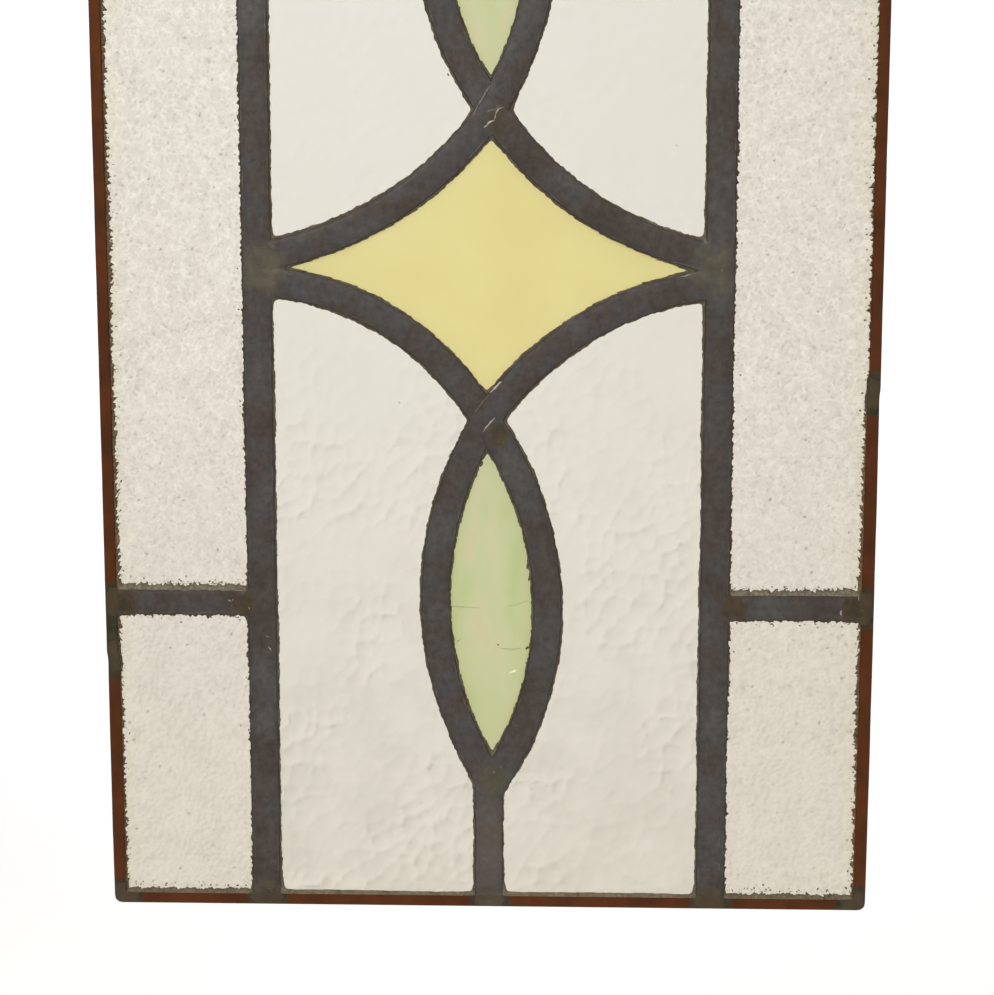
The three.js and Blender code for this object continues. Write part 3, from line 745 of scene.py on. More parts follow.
def solder_pad(x, z, reach, swell, tarnish, face, seed):
    """Solder run over a joint: a round grid about the joint's middle. The skin lies on the
    leads, swells towards the middle, is lumpy, and dives under at its rim."""
    spokes, rings = (64, 14) if face == FRONT else (40, 10)
    centre, spoke = np.array((x, z), float), circle(spokes)
    stop = spoke_ends(centre, spoke, reach, seed)
    share = np.linspace(0, 1, rings)[1:] ** 0.8
    plan = centre + (share * stop[:, None])[..., None] * spoke[:, None, :]
    lumpy = PAD_LUMPS * (cloud(*np.moveaxis(plan, -1, 0), 2.6, seed) - 0.45)
    rise = swell * (1 - share ** 3) + lumpy * (1 - share ** 4)
    rise = rise - PAD_DIP * ease((share - 1 + PAD_RIM) / PAD_RIM)
    height = np.clip(metal_height(plan, PAD_SPREAD) + rise, GLASS_FACE + 2 * BEDDED, TOP_HEIGHT)
    top = in_space(plan, height, face).reshape(-1, 3)
    foot = in_space(plan[:, -1:], GLASS_FACE + BEDDED, face).reshape(-1, 3)
    middle = float(min(metal_height(centre[None])[0] + swell, TOP_HEIGHT))
    poles = in_space(np.array((centre, centre)), np.array((middle, GLASS_FACE + BEDDED)), face)
    inner = np.arange(spokes) * (rings - 1)
    outer, foot_ring = inner + rings - 2, np.arange(spokes) + spokes * (rings - 1)
    skin = grid_faces(spokes, rings - 1, rows_close=True)
    wall = np.stack((outer, np.roll(outer, -1), np.roll(foot_ring, -1), foot_ring), -1)
    cap, under = dome_ends(spokes, inner, foot_ring, spokes * rings)
    on_edge = (depth_in(plan) < RIM_FACE + 0.1).astype(float)
    fade = 1 - share * (0.75 if on_edge.any() else 1.0)
    amount = np.concatenate((np.tile(fade, spokes), np.zeros(spokes), (1, 0)))
    on_edge = np.concatenate((on_edge.ravel(), on_edge[:, -1], (0, 0)))
    faces = [skin, *(group[:, ::-1] for group in (wall, cap, under))]
    values = {"solder": amount, "tarnish": tarnish, "on_edge": on_edge}
    return np.concatenate((top, foot, poles)), faces, values


def joints():
    """Middle, reach, swell and tarnish of every soldered joint."""
    made = []
    for s in (-1, 1):
        made += [(s * UPRIGHT_X, z, 8.5, 0.14, 0.85) for z in (4, HEIGHT - 4)]
        for z in (CROSS_LOW[s], CROSS_HIGH[s]):
            made += [(s * (UPRIGHT_X + 8.0), z, 8.5, 0.08, 0.95), (s * 158.5, z, 9, 0.14, 1.0)]
        corners = ((SIDE_LOWER[s] - 4, 2.5), (SIDE_UPPER[s] - 4, HEIGHT - 2.5))
        made += [(s * x, z, 8, 0.1, 0.8) for x, z in corners]
        made += [(s * (SIDE_LOWER[s] - 2.2), SPLICE[s], 8, 0.12, 0.9)]
    made += [(-UPRIGHT_X + 2, 277.2, 15, 0.1, 0.15), (UPRIGHT_X - 2, 276.0, 15, 0.1, 0.15)]
    made += [(HEAD[0] + 6, HEAD[1] - 6, 7.5, 0.1, 0.75), (UP_HEAD[0] + 3, UP_HEAD[1] - 6, 8, 0.1, 0.6)]
    made += [(FOOT[0], FOOT[1] + 2, 11, 0.08, 0.25), (UP_FOOT[0], UP_FOOT[1] - 2, 11, 0.08, 0.25)]
    made += [(MIDDLE_X, 2.5, 8, 0.12, 0.3), (MIDDLE_X, HEIGHT - 2.5, 8, 0.12, 0.3)]
    return made


def make_solder():
    """The joints' solder, a piece for each face of the panel."""
    for face, word in ((FRONT, "front"), (BACK, "back")):
        pads = [solder_pad(*joint, face, 300 + 7 * k + face) for k, joint in enumerate(joints())]
        piece(f"soldered_joints_{word}", pads, SOLDER, sharp=60)


# ---- Small marks: seams, scratches, specks, chips and crumbs -------------------------------------

BEDDED_DEEP = 0.12  # the middle of a lump's foot lies this far under its ground
THREAD_STEP = 0.5


def lumps(centres, longs, shorts, angles, heights, ground, seed, spokes=11, **values):
    """Many small uneven lumps at once: each is a round grid of spokes, two rings and two
    poles, longs by shorts in half size, turned by its angle, standing on the ground."""
    count = len(centres)
    rng = np.random.default_rng(seed)
    rim = 1 + 0.3 * rng.uniform(-1, 1, (count, 1, spokes, 1))
    local = np.array((0.6, 1.0))[None, :, None, None] * rim * circle(spokes)
    local = local * np.stack((longs, shorts), -1)[:, None, None, :]
    c, s = np.cos(angles), np.sin(angles)
    turn = np.stack((np.stack((c, s), -1), np.stack((-s, c), -1)), -2)
    plan = centres[:, None, None, :] + local @ turn[:, None]
    stand = ground[:, None, None] + heights[:, None, None] * np.array((0.75, 0.0))[None, :, None]
    stand = stand - np.array((0, 0.04))[None, :, None] + np.zeros(spokes)
    rings = in_space(plan, np.minimum(stand, TOP_HEIGHT)).reshape(count, -1, 3)
    crown = in_space(centres, np.minimum(ground + heights, TOP_HEIGHT))[:, None]
    foot = in_space(centres, ground - BEDDED_DEEP)[:, None]
    places = np.concatenate((rings, crown, foot), 1)
    around = np.arange(spokes)
    band = grid_faces(2, spokes, cols_close=True)
    ends = dome_ends(spokes, around, spokes + around, 2 * spokes)
    base = np.arange(count)[:, None, None] * (2 * spokes + 2)
    faces = [(base + group).reshape(-1, group.shape[1]) for group in (band, *ends)]
    values = {key: np.repeat(each, 2 * spokes + 2) for key, each in values.items()}
    return places.reshape(-1, 3), faces, values


def thread(points, half, height, ground, seed, **values):
    """A low ridge along points: a lens-shaped section that tapers at both ends, wanders a
    little and swells unevenly. ground is a height, or None to lie on the metal."""
    p = np.array(points, float)
    run = run_along(p)
    s = np.linspace(0, run[-1], max(8, int(run[-1] / THREAD_STEP)))
    p = spread_out(p, run, s)
    taper = np.sin(math.pi * np.linspace(0.06, 0.94, len(s))) ** 0.6
    width = half * taper * (1 + 0.3 * wave(s, 3, seed))
    across = np.array((-1, -0.5, 0, 0.5, 1, 0))
    rise = np.array((-0.03, 0.7, 1, 0.7, -0.03, 0)) * height
    off = 0.12 * wave(s, 5, seed + 1)[:, None] + width[:, None] * across
    plan = p[:, None] + off[..., None] * left_normals(p)[:, None]
    floor = metal_height(plan) if ground is None else ground
    underside = np.arange(len(across)) == len(across) - 1
    stand = floor + rise * taper[:, None] - 0.15 * underside
    places = in_space(plan, np.minimum(stand, TOP_HEIGHT)).reshape(-1, 3)
    return places, tube_faces(len(s), len(across)), values


# Seams and ridges where one lead's end was dressed over another, and scratches in the leads,
# rubbed bright and painted brighter as glints of light: half width of the bare line and height
# of the ridge, then the points along them.
SEAM_SPREAD = 1.4  # a ridge is this much wider than its bare line
BRIGHT_SEAMS = (
    (0.16, 0.10, (-6.3, 340), (1.1, 352)),
    (0.32, 0.34, (-1.4, 335), (0.9, 337), (3, 338)),
    (0.26, 0.34, (3, 338), (3.7, 341), (4.7, 342.5), (6.5, 343)),
    (0.08, 0.08, (12.7, 351), (18.5, 361)),
    (0.12, 0.22, (74, 279.8), (79.5, 279.5), (86, 277.7), (91.5, 276.3)),
    (0.18, 0.2, (81, 273.6), (85, 274.7)),
    (0.3, 0.16, (1.2, 225.4), (5.9, 230)),
    (0.12, 0.12, (1.1, 225), (-3.1, 220), (-6.8, 214.6)),
    (0.22, 0.26, (-1.8, 208.7), (0.6, 212), (3.2, 214.6)),
    (0.12, 0.14, (7.5, 213), (10.5, 209.5), (13, 205.3)),
    (0.14, 0.1, (-160, 140.6), (-131, 140.2), (-102.5, 140)),
    (0.1, 0.08, (-131, 130), (-116.5, 130.2)),
    (0.14, 0.12, (-96, 120.2), (-94.2, 119.6)),
    (0.2, 0.12, (-94.9, 115.6), (-93.7, 114)),
    (0.1, 0.1, (101, 32), (101, 28)),
    (0.12, 0.1, (101, 21), (101.1, 17.5)),
    (0.2, 0.2, (-112, 136), (-110.8, 135.2)),
    (0.16, 0.2, (-110.8, 135.2), (-109.2, 136.7)),
    (0.25, 0.2, (-103, 133), (-102.7, 131.8)),
    (0.3, 0.2, (151.2, 130.6), (150.9, 132.8)),
    (0.2, 0.2, (158.6, 137), (158.3, 139)),
    (0.2, 0.2, (2.6, 60.2), (3.2, 61)),
    (0.2, 0.12, (-159.5, 110.5), (-159.6, 112.2)),
    (0.18, 0.12, (-159.6, 106.6), (-159.4, 104.4)))
# Cracks in the green glass, thin and dirty, and a dash of dirt on the clear glass: half width,
# then the points along them.
CRACKS = ((0.08, (-13.4, 117.7), (-11, 119.3)), (0.02, (5.4, 115.1), (10, 114.7), (14.5, 115.2)),
          (0.02, (8.9, 134), (12, 134), (17.7, 136.3)), (0.02, (-16, 133.4), (-3.5, 132.8)),
          (0.12, (77.9, 327.9), (79.2, 327.3)))
# Dark bits: place, half length, half width, angle and height. On the leads they are flux pits
# and dark marks in corners; on the glass, chips and bits of cement.
DARK_BITS = (
    (10.6, 343.6, 1.5, 0.6, 1.2, 0.5), (103.6, 268.2, 0.9, 0.5, 0.2, 0.4), (2.2, 62.6, 0.7, 0.4, -0.6, 0.12),
    (3.6, 61.6, 0.5, 0.3, 0.5, 0.12), (7.2, 55.6, 1.0, 1.4, 0.5, 0.3), (-2.7, 194.8, 1.3, 0.7, 0.9, 0.3),
    (-6.8, 188, 1.1, 0.35, 0.2, 0.2), (-6.1, 85, 0.6, 2.0, 0.35, 0.7),
    (-1.8, 199, 3.4, 0.55, 1.3, 0.3), (-16.2, 133.4, 0.9, 0.4, -0.2, 0.3),
    (17.2, 151, 1.6, 0.5, 1.4, 0.3), (18.2, 146.4, 1.9, 0.6, 1.4, 0.3), (18.9, 142.4, 0.9, 0.6, 0.9, 0.3),
    (-9.9, 92.0, 1.4, 0.6, 1.9, 0.3), (-8.2, 88.6, 1.8, 0.6, 2.0, 0.3), (-24.6, 143.6, 0.5, 0.4, 0.3, 0.15),
    (4.6, 116.6, 0.38, 0.38, 0, 0.1), (17.2, 115.4, 1.0, 0.5, 0.9, 0.2), (16.9, 108.8, 0.6, 0.3, 0.5, 0.2),
    (-16.3, 356.7, 0.8, 0.35, -0.9, 0.2), (-37.5, 221, 0.3, 0.25, 0, 0.1), (-22.8, 375.2, 0.3, 0.3, 0, 0.1),
    (-94.2, 30, 0.3, 0.3, 0, 0.2))
# Fresh chips in the lower leaf, painted pale as glints of reflected light, by the same measures.
GLINTING_CHIPS = ((10.9, 104.8, 1.7, 0.45, 0.35, 0.14), (12.8, 112.3, 0.3, 0.2, 0, 0.08),
              (12.6, 109.8, 0.4, 0.15, 0.2, 0.08), (-11.3, 118.7, 0.7, 0.2, 0.5, 0.08))


def bits(table, material_used, name, seed):
    """A piece of listed lumps on the front face."""
    x, z, longs, shorts, angles, heights = np.array(table).T
    centres = np.stack((x, z), -1)
    grey = np.full(len(x), 0.25)
    part = lumps(centres, longs, shorts, angles, heights, metal_height(centres), seed, grey=grey)
    piece(name, [part], material_used, sharp=70)


def make_marks():
    """Every small mark, in four pieces. The wider a seam, the barer and brighter its metal: rubbed metal
    with a painted glint.
    """
    seams = [thread(points, SEAM_SPREAD * half, height, None, 1400 + 3 * k,
                    bare=ease((half - 0.08) / 0.2))
             for k, (half, height, *points) in enumerate(BRIGHT_SEAMS)]
    piece("seams_scratches_and_painted_glints", seams, WORN_AND_GLINT, sharp=70)
    cracks = [thread(points, half, 0.1, GLASS_FACE, 1500 + 3 * k, grey=0.6)
              for k, (half, *points) in enumerate(CRACKS)]
    piece("dirty_cracks", cracks, CEMENT, sharp=70)
    bits(DARK_BITS, CEMENT, "dark_pits_and_chips", 1601)
    # painted highlight: pale chips that stand for glints of reflected light
    bits(GLINTING_CHIPS, CHIP_GLINT, "leaf_chips_painted_as_glints", 1611)


# ---- Outlines of the panes ---------------------------------------------------------------------

# A pane is bounded by borders, walked with the pane on the left. A border is a lead, the edge
# came at a side or the head (rim) or at the foot (sill), or a cross lead over or under the pane.
GRANITE_BAYS = ("corner_pane_lower", "border_pane", "corner_pane_upper")
RIM_BOTTOM = line((-160, 0), (160, 0))
RIM_TOP = line((160, HEIGHT), (-160, HEIGHT))
RIM_SIDE = {-1: line((-SIDE_LOWER[-1], HEIGHT), (-SIDE_LOWER[-1], 0)),
            1: line((SIDE_LOWER[1], 0), (SIDE_LOWER[1], HEIGHT))}


def border(way, kind="lead", near=None):
    """One side of a pane: what it lies along, and a point near the corner where it starts."""
    return {"way": way, "kind": kind, "near": near}


def bay_heights(side):
    """Heights that part a border's three panes: the foot, its two cross leads and the head."""
    return 0, CROSS_LOW[side], CROSS_HIGH[side], HEIGHT


def granite_borders(side, bay):
    """The four borders of a granite pane, anticlockwise from its lower left corner."""
    low, high = bay_heights(side)[bay:bay + 2]
    x0, x1 = sorted((side * UPRIGHT_X, side * SIDE_LOWER[side]))
    bottom = border(RIM_BOTTOM, "sill", (x0, low))
    if bay > 0:
        bottom = border(line((x0, low), (x1, low)), "cross_over", (x0, low))
    top = border(RIM_TOP, "rim", (x1, high))
    if bay < 2:
        top = border(line((x1, high), (x0, high)), "cross_under", (x1, high))
    outer, inner = RIM_SIDE[side], UPRIGHT[side]
    if side < 0:
        return [bottom, border(inner, "lead", (x1, low)), top, border(outer, "rim", (x0, high))]
    return [bottom, border(outer, "rim", (x1, low)), top, border(back_along(inner), "lead", (x0, high))]


def field_borders(level, side):
    """The five borders of a clear pane. Two of the panes are walked the other way round: each
    border is walked backwards and starts where it ended."""
    low = level == "lower"
    edge_z, foot, head = (0, FOOT, HEAD) if low else (HEIGHT, UP_FOOT, UP_HEAD)
    stem, upright = (STEM_LOW, back_along(UPRIGHT[side])) if low else (STEM_HIGH, UPRIGHT[side])
    slope = SLOPES[level, side]
    borders = [border(RIM_BOTTOM, "sill") if low else border(RIM_TOP, "rim"), border(stem),
               border(back_along(LEAVES[level, side])), border(back_along(slope)), border(upright)]
    starts = [(side * UPRIGHT_X, edge_z), (stem["start"][0], edge_z), foot, head, tuple(slope["start"])]
    if (side < 0) != low:
        borders = [dict(b, way=back_along(b["way"])) if b["kind"] == "lead" else b for b in borders[::-1]]
        starts = starts[:1] + starts[:0:-1]
    return [dict(b, near=near) for b, near in zip(borders, starts)]


def diamond_borders():
    """The four borders of the diamond, from its left tip."""
    left, right = (-UPRIGHT_X, 277.2), (UPRIGHT_X, 276.0)
    return [border(DIAMOND_LL, near=left), border(back_along(DIAMOND_LR), near=HEAD),
            border(DIAMOND_UR, near=right), border(back_along(DIAMOND_UL), near=UP_HEAD)]


def leaf_borders(level):
    """The two borders of a leaf, the first walked from where the leaf meets the diamond."""
    if level == "lower":
        return [border(LEAF_LEFT, near=HEAD), border(back_along(LEAF_RIGHT), near=FOOT)]
    return [border(UP_LEAF_RIGHT, near=UP_HEAD), border(back_along(UP_LEAF_LEFT), near=UP_FOOT)]


FACE_HALF = {"lead": LEAD_FACE / 2, "cross_over": CROSS_FACE / 2, "cross_under": CROSS_FACE / 2,
             "rim": RIM_FACE, "sill": RIM_FACE}
HIDDEN_HALF = {"lead": PANE_IN, "cross_over": PANE_IN, "cross_under": PANE_IN,
               "rim": RIM_IN, "sill": RIM_IN}


def ring(borders, offsets, counts):
    """The closed line that keeps to the left of each border by its own offset: the corners
    are where neighbours meet, and the sides follow the borders between them."""
    starts = []
    for k, b in enumerate(borders):
        before = borders[k - 1]
        starts.append(meeting(before["way"], offsets[k - 1], b["way"], offsets[k], b["near"]))
    sides = []
    for k, b in enumerate(borders):
        t = np.linspace(0, 1, counts[k], endpoint=False)[:, None]
        chord = starts[k] + t * (starts[(k + 1) % len(borders)] - starts[k])
        sides.append(onto(b["way"], chord, offsets[k]))
    return np.concatenate(sides)


def side_counts(borders, step):
    """How many points each side needs for points step apart."""
    halves = [FACE_HALF[b["kind"]] for b in borders]
    corners = ring(borders, halves, [1] * len(borders))
    chords = np.linalg.norm(np.roll(corners, -1, axis=0) - corners, axis=1)
    return [max(2, int(c / step)) for c in chords]


# ---- Cement along the leads --------------------------------------------------------------------

# How far the cement reaches out over the glass, how much that varies from tooth to tooth and
# along the border, how grey it is, and the height of its lip, by the kind of border.
RAGGED = {"lead": (0.4, 0.55, 0.25, 0.15, 2.1), "rim": (0.3, 1.0, 0.3, 0.3, 2.2),
          "sill": (1.35, 0.8, 0.25, 0.7, 2.85), "cross_over": (2.0, 0.85, 0.2, 1.0, 2.45),
          "cross_under": (0.5, 0.75, 0.3, 0.05, 2.2)}
CLEAN = {"lead": (0.7, 0.45, 0.3, 0.3, 2.1), "rim": (0.5, 0.3, 0.2, 0.5, 2.2),
         "sill": (1.3, 0.2, 0.2, 0.8, 2.85)}
STEP_RAGGED, STEP_CLEAN = 0.45, 0.9
CEMENT_FAR = 2.0  # its reach is limited to this behind the leads' edges and twice this before


def sharpness(borders, counts):
    """For each point of a ring, how near it is to a corner, more so the sharper the corner:
    sharp corners between leads are filled with cement."""
    halves = [FACE_HALF[b["kind"]] for b in borders]
    p = ring(borders, halves, counts)
    total = np.zeros(len(p))
    for k in np.cumsum([0, *counts[:-1]]):
        here = p[k]
        after = p[(k + 3) % len(p)] - here
        before = p[k - 3] - here
        cosine = after @ before / np.linalg.norm(after) / np.linalg.norm(before)
        half_angle = 0.5 * math.acos(max(-1, min(1, cosine)))
        fill = min(0.5 / math.sin(half_angle) - 0.35, 0.4)
        d = np.linalg.norm(p - here, axis=1)
        total += fill * np.exp(-(d / (2.2 + 0.9 / math.sin(half_angle) ** 1.2)) ** 2)
    return total


def cement_reach(s, at_edge, sharp, shape, kinds, ragged, face, seed):
    """How far the cement comes out from the leads' edges, at distances s round a pane: the mean
    of its kind of border, uneven from tooth to tooth, drifting slowly, and more in sharp
    corners. On the right it is drawn in above the splice. On the back, where the edge came's
    leaf is narrower, it stays under the metal."""
    mean, spread, drift = shape
    rng = np.random.default_rng(seed)
    tooth = rng.uniform(0, 1, len(s)) ** 3
    tooth = (tooth + np.roll(tooth, 1)) / 1.3
    uneven = 0.5 * wave(s, 11, seed) + 0.4 * wave(s, 3.3, seed + 1)
    uneven = uneven + (1.1 * tooth - 0.2 if ragged else 0)
    right = (at_edge[:, 0] > 150) * ragged
    drawn_in = right * (0.4 - 1.3 * ease((at_edge[:, 1] - 215) / 20))
    reach = mean + spread * uneven / (1 + 1.5 * sharp) + drift * wave(s, 130, seed + 2) + sharp
    beside_other = mean != kinds["lead"][0]
    return np.clip(reach + drawn_in - 1.9 * beside_other * (face == BACK), -CEMENT_FAR, 2 * CEMENT_FAR)


def cement_brown(at_edge, beside_edge):
    """How brown cement is beside the edge came: more on the right, less at foot and head."""
    by_side = 0.65 + 0.25 * (at_edge[:, 0] > 0)
    brown = beside_edge * np.where(np.abs(at_edge[:, 1] - HEIGHT / 2) < 272, by_side, 0.3)
    return np.roll(brown, 1) * 0.3 + brown * 0.4 + np.roll(brown, -1) * 0.3


def cement_line(borders, face, ragged, seed):
    """A wall of cement round a pane: a closed section carried round the pane's outline. It
    starts under the leads, stands as a lip against them, and slopes down to the glass at an
    uneven reach. Also its shades: how grey and how brown it is at each point."""
    step = (STEP_RAGGED if ragged else STEP_CLEAN) * (1 if face == FRONT else 2)
    counts = side_counts(borders, step)
    kinds = RAGGED if ragged else CLEAN
    halves = np.array([FACE_HALF[b["kind"]] for b in borders])
    under = ring(borders, halves - (2.2 if ragged else 1.2), counts)
    at_edge = ring(borders, halves, counts)
    far = ring(borders, halves + CEMENT_FAR, counts)
    table = np.array([kinds[b["kind"]] for b in borders])[np.repeat(np.arange(len(borders)), counts)]
    blurred = table
    for _ in range(3):
        blurred = (np.roll(blurred, 2, 0) + blurred + np.roll(blurred, -2, 0)) / 3
    *shape, grey, lip = blurred.T
    s = np.arange(len(at_edge)) * step
    sharp = sharpness(borders, counts)
    reach = cement_reach(s, at_edge, sharp, shape, kinds, ragged, face, seed)
    outer = at_edge + reach[:, None] * (far - at_edge) / CEMENT_FAR
    side_tips = (np.abs(at_edge[:, 0]) > 60) & (sharp > 0.3)
    for rounding, steps in ((0.5 * ease(sharp / 0.5), 3), (0.5 * side_tips, 0 if ragged else 3)):
        for _ in range(steps):
            beside = (np.roll(outer, 1, 0) + np.roll(outer, -1, 0)) / 2
            outer = outer + rounding[:, None] * (beside - outer)
    start = np.where(reach[:, None] > 0, at_edge, outer)
    foot = GLASS_FACE - (0.12 if ragged else 0.06)
    rows = [in_space(under, CHANNEL_FACE - 0.02, face)]
    for share, lift in ((0.0, 1.0), (0.45, 0.62), (0.8, 0.3), (1.0, 0.0)):
        height = foot + lift * (lip - foot)
        height = np.where(reach < 0, np.minimum(height, CHANNEL_FACE - 0.03), height)
        rows.append(in_space(start + share * (outer - start), height, face))
    rows.append(in_space(under, foot, face))
    faces = grid_faces(len(rows), len(at_edge), rows_close=True, cols_close=True)
    shade = np.array((1, 1, 0.9, 0.6, 0.35, 0) if ragged else (1, 1, 1, 1, 0.9, 0.5))[:, None]
    tint = shade * np.clip(grey + 0.2 * wave(s, 23, seed + 5) + 0.35 * ease(sharp), 0, 1)
    beside_edge = np.isin(table[:, 0], (kinds["rim"][0], kinds["sill"][0]))
    brown = cement_brown(at_edge, beside_edge) + 0 * tint
    values = {"grey": tint.ravel(), "brown": brown.ravel()}
    return np.stack(rows).reshape(-1, 3), [faces], values


def pane_table():
    """Every pane: its borders and whether its cement is ragged, as it is on granite glass."""
    made = {}
    for side, word in SIDES:
        for bay, kind in enumerate(GRANITE_BAYS):
            made[f"{kind}_{word}"] = (granite_borders(side, bay), True)
        for level in LEVELS:
            made[f"field_pane_{level}_{word}"] = (field_borders(level, side), False)
    for level in LEVELS:
        made[f"leaf_pane_{level}"] = (leaf_borders(level), False)
    made["diamond_pane"] = (diamond_borders(), False)
    return made


PANES = pane_table()


def make_cement():
    """The cement round each pane, on both its faces."""
    for k, (name, (borders, ragged)) in enumerate(sorted(PANES.items())):
        parts = [cement_line(borders, face, ragged, 500 + 11 * k + face) for face in (FRONT, BACK)]
        piece(f"cement_{name}", parts, CEMENT, sharp=70)


def make_crumbs():
    """Crumbs of cement caught in the granite glass, thickest beside the leads and the edge."""
    rng = np.random.default_rng(61)
    centres = []
    for side in (-1, 1):
        low, high = CROSS_LOW[side], CROSS_HIGH[side]
        x0, x1 = UPRIGHT_X + LEAD_FACE / 2, SIDE_LOWER[side] - RIM_FACE
        bands = ((RIM_FACE + 2, low - 6), (low + 7, high - 6), (high + 7, HEIGHT - RIM_FACE))
        for z0, z1 in bands:
            count = int(1.1 * (z1 - z0) + 50)
            away = rng.exponential(0.7, count) + 0.7
            along = rng.uniform(0, 1, count)
            which = rng.choice(4, count, p=(0.10, 0.40, 0.34, 0.16))
            x, z = x0 + along * (x1 - x0), z0 + along * (z1 - z0)
            x = np.choose(which, (x0 + away, x1 - away, x, x))
            z = np.choose(which, (z, z, z0 + away, z1 - away))
            centres.append(np.stack((side * x, z), -1))
    centres = np.concatenate(centres)
    count = len(centres)
    size = 0.1 + 0.3 * rng.uniform(0, 1, count) ** 3
    longs, angles = size * rng.uniform(1, 1.9, count), rng.uniform(0, math.pi, count)
    part = lumps(centres, longs, size, angles, 0.12 + 0.2 * size, np.full(count, GLASS_FACE), 62,
                 spokes=7, grey=rng.uniform(0.1, 0.9, count), brown=np.full(count, 0.4))
    piece("cement_crumbs", [part], CEMENT, sharp=80)


# ---- Panes -----------------------------------------------------------------------------------

SKIN_DOWN = 0.2  # a textured face starts this far under the pane's own face
FIELD_TRIM = 0.5  # a clear pane stops this far short of its sharp corner


def sheet(name, plan, front, material_used, slot, **skins):
    """A pane: a grid of plan points at uneven front heights, with square edges and a smooth
    level back. skins are attributes: the values over the front, and one for the back."""
    rows, cols = plan.shape[:2]
    index = np.arange(rows * cols).reshape(rows, cols)
    edge = np.concatenate((index[0, :-1], index[:-1, -1], index[-1, :0:-1], index[:0:-1, 0]))
    top = in_space(plan, front).reshape(-1, 3)
    back = in_space(plan.reshape(-1, 2)[edge], GLASS_FACE, BACK)
    below = rows * cols + np.arange(len(edge))
    wall = np.stack((edge, np.roll(edge, -1), np.roll(below, -1), below), -1)
    faces = [grid_faces(rows, cols), wall[:, ::-1], below[None, :]]
    values = {}
    for key, (skin, plain) in skins.items():
        values[key] = np.concatenate((skin.ravel(), np.full(len(edge), plain)))
    part = np.concatenate((top, back)), faces, values
    piece(f"{name}_glass", [part], material_used, [name])


def patch(x0, x1, z0, z1, step):
    """A rectangle of plan points about step apart."""
    x = np.linspace(x0, x1, int(abs(x1 - x0) / step) + 2)
    z = np.linspace(z0, z1, int(abs(z1 - z0) / step) + 2)
    return np.stack(np.meshgrid(x, z), -1)


def lit(relief, x, z, reach, seed):
    """How much a relief's slopes face up and to the left, where they look lighter."""
    return relief(x + reach, z - reach, seed) - relief(x - reach, z + reach, seed)


def orange_peel(x, z, seed):
    """A fine uneven skin, from two sizes of soft noise."""
    return 0.6 * cloud(x + 0.5 * z, z - 0.5 * x, 1.3, seed + 6) + 0.4 * cloud(z, x, 2.4, seed + 5)


def granite_relief(plan, seed):
    """An orange-peel skin with small pits. The second result is the tone, 0 where the skin is
    clearest and up to 1 in a pit painted with a grey fleck of shade. The tone is also painted
    lighter on slopes that face the upper left and darker in the skin's hollows, and a few dark
    specks of painted shade are scattered over it. Low on the panel the skin is nearly plain;
    higher up the pits are thicker."""
    x, z = plan[..., 0], plan[..., 1]
    upper = ease((z - 70) / 170)
    warp = 2.8 * (cloud(x, z, 2.6, seed + 9) - 0.5)
    small, small_tag = cells(x - warp, z + warp, 1.7, seed + 3)
    often = 0.88 - 0.33 * upper + 0.3 * (cloud(x, z, 14, seed + 8) - 0.5)
    pit = (1 - ease(small / 0.42)) * ease((small_tag - often) / 0.2)
    skin = orange_peel(x, z, seed)
    height = 0.16 * skin - 0.12 * pit
    broad = cloud(x, z, 7, seed + 7) - 0.5
    # painted shade: a grey fleck in each pit
    tone = 0.28 + 0.10 * broad + 0.34 * pit
    # painted light and shade: slopes that face the upper left are lighter, most low on the panel, and the
    # skin's hollows are darker
    tone = tone - (0.26 - 0.16 * upper) * lit(orange_peel, x, z, 0.35, seed) - 0.20 * (skin - 0.5)
    # painted shade: a few scattered dark specks
    spot, spot_tag = cells(x, z, 15, seed + 12)
    painted_speck_shade = (1 - np.clip(spot / 0.045, 0, 1)) * ease((spot_tag - 0.3) / 0.3)
    return height, np.clip(tone + 1.1 * painted_speck_shade, 0, 1)


def granite_pane(name, x0, x1, z0, z1, seed):
    """A pane with its relief. Oil from the cement has yellowed the glass beside the edge."""
    plan = patch(x0, x1, z0, z1, 0.62 if z0 < 300 else 0.9)
    height, tone = granite_relief(plan, seed)
    away = 160 - np.abs(plan[..., 0])
    oil = np.exp(-(away / 6) ** 2) * (0.3 + 0.7 * cloud(*np.moveaxis(plan, -1, 0), 12, seed + 20))
    sheet(name, plan, GLASS_FACE - SKIN_DOWN + height, GRANITE, "granite_glass",
          tone=(tone, 0.25), oil=(oil, 0))


def make_granite():
    """The six granite panes, each a little smaller all round than its bay."""
    for side, word in SIDES:
        x0, x1 = sorted((side * (SIDE_LOWER[side] - RIM_IN), side * (UPRIGHT_X + PANE_IN)))
        heights = bay_heights(side)
        for bay, kind in enumerate(GRANITE_BAYS):
            z0 = heights[bay] + (PANE_IN if bay > 0 else RIM_IN)
            z1 = heights[bay + 1] - (PANE_IN if bay < 2 else RIM_IN)
            granite_pane(f"{kind}_{word}", x0, x1, z0, z1, 700 + 40 * bay + side * 7)


def dimples(x, z, seed):
    """Shallow bowls 5 to 7 mm across, meeting in soft edges."""
    wx, wz = 3 * (cloud(x, z, 9, seed + 6) - 0.5), 3 * (cloud(z, x, 9, seed + 7) - 0.5)
    bowl, tag = cells(x + wx, z + wz, 6.2, seed)
    return np.clip(bowl / 0.8, 0, 1) ** 2 * (0.4 + 0.6 * tag)


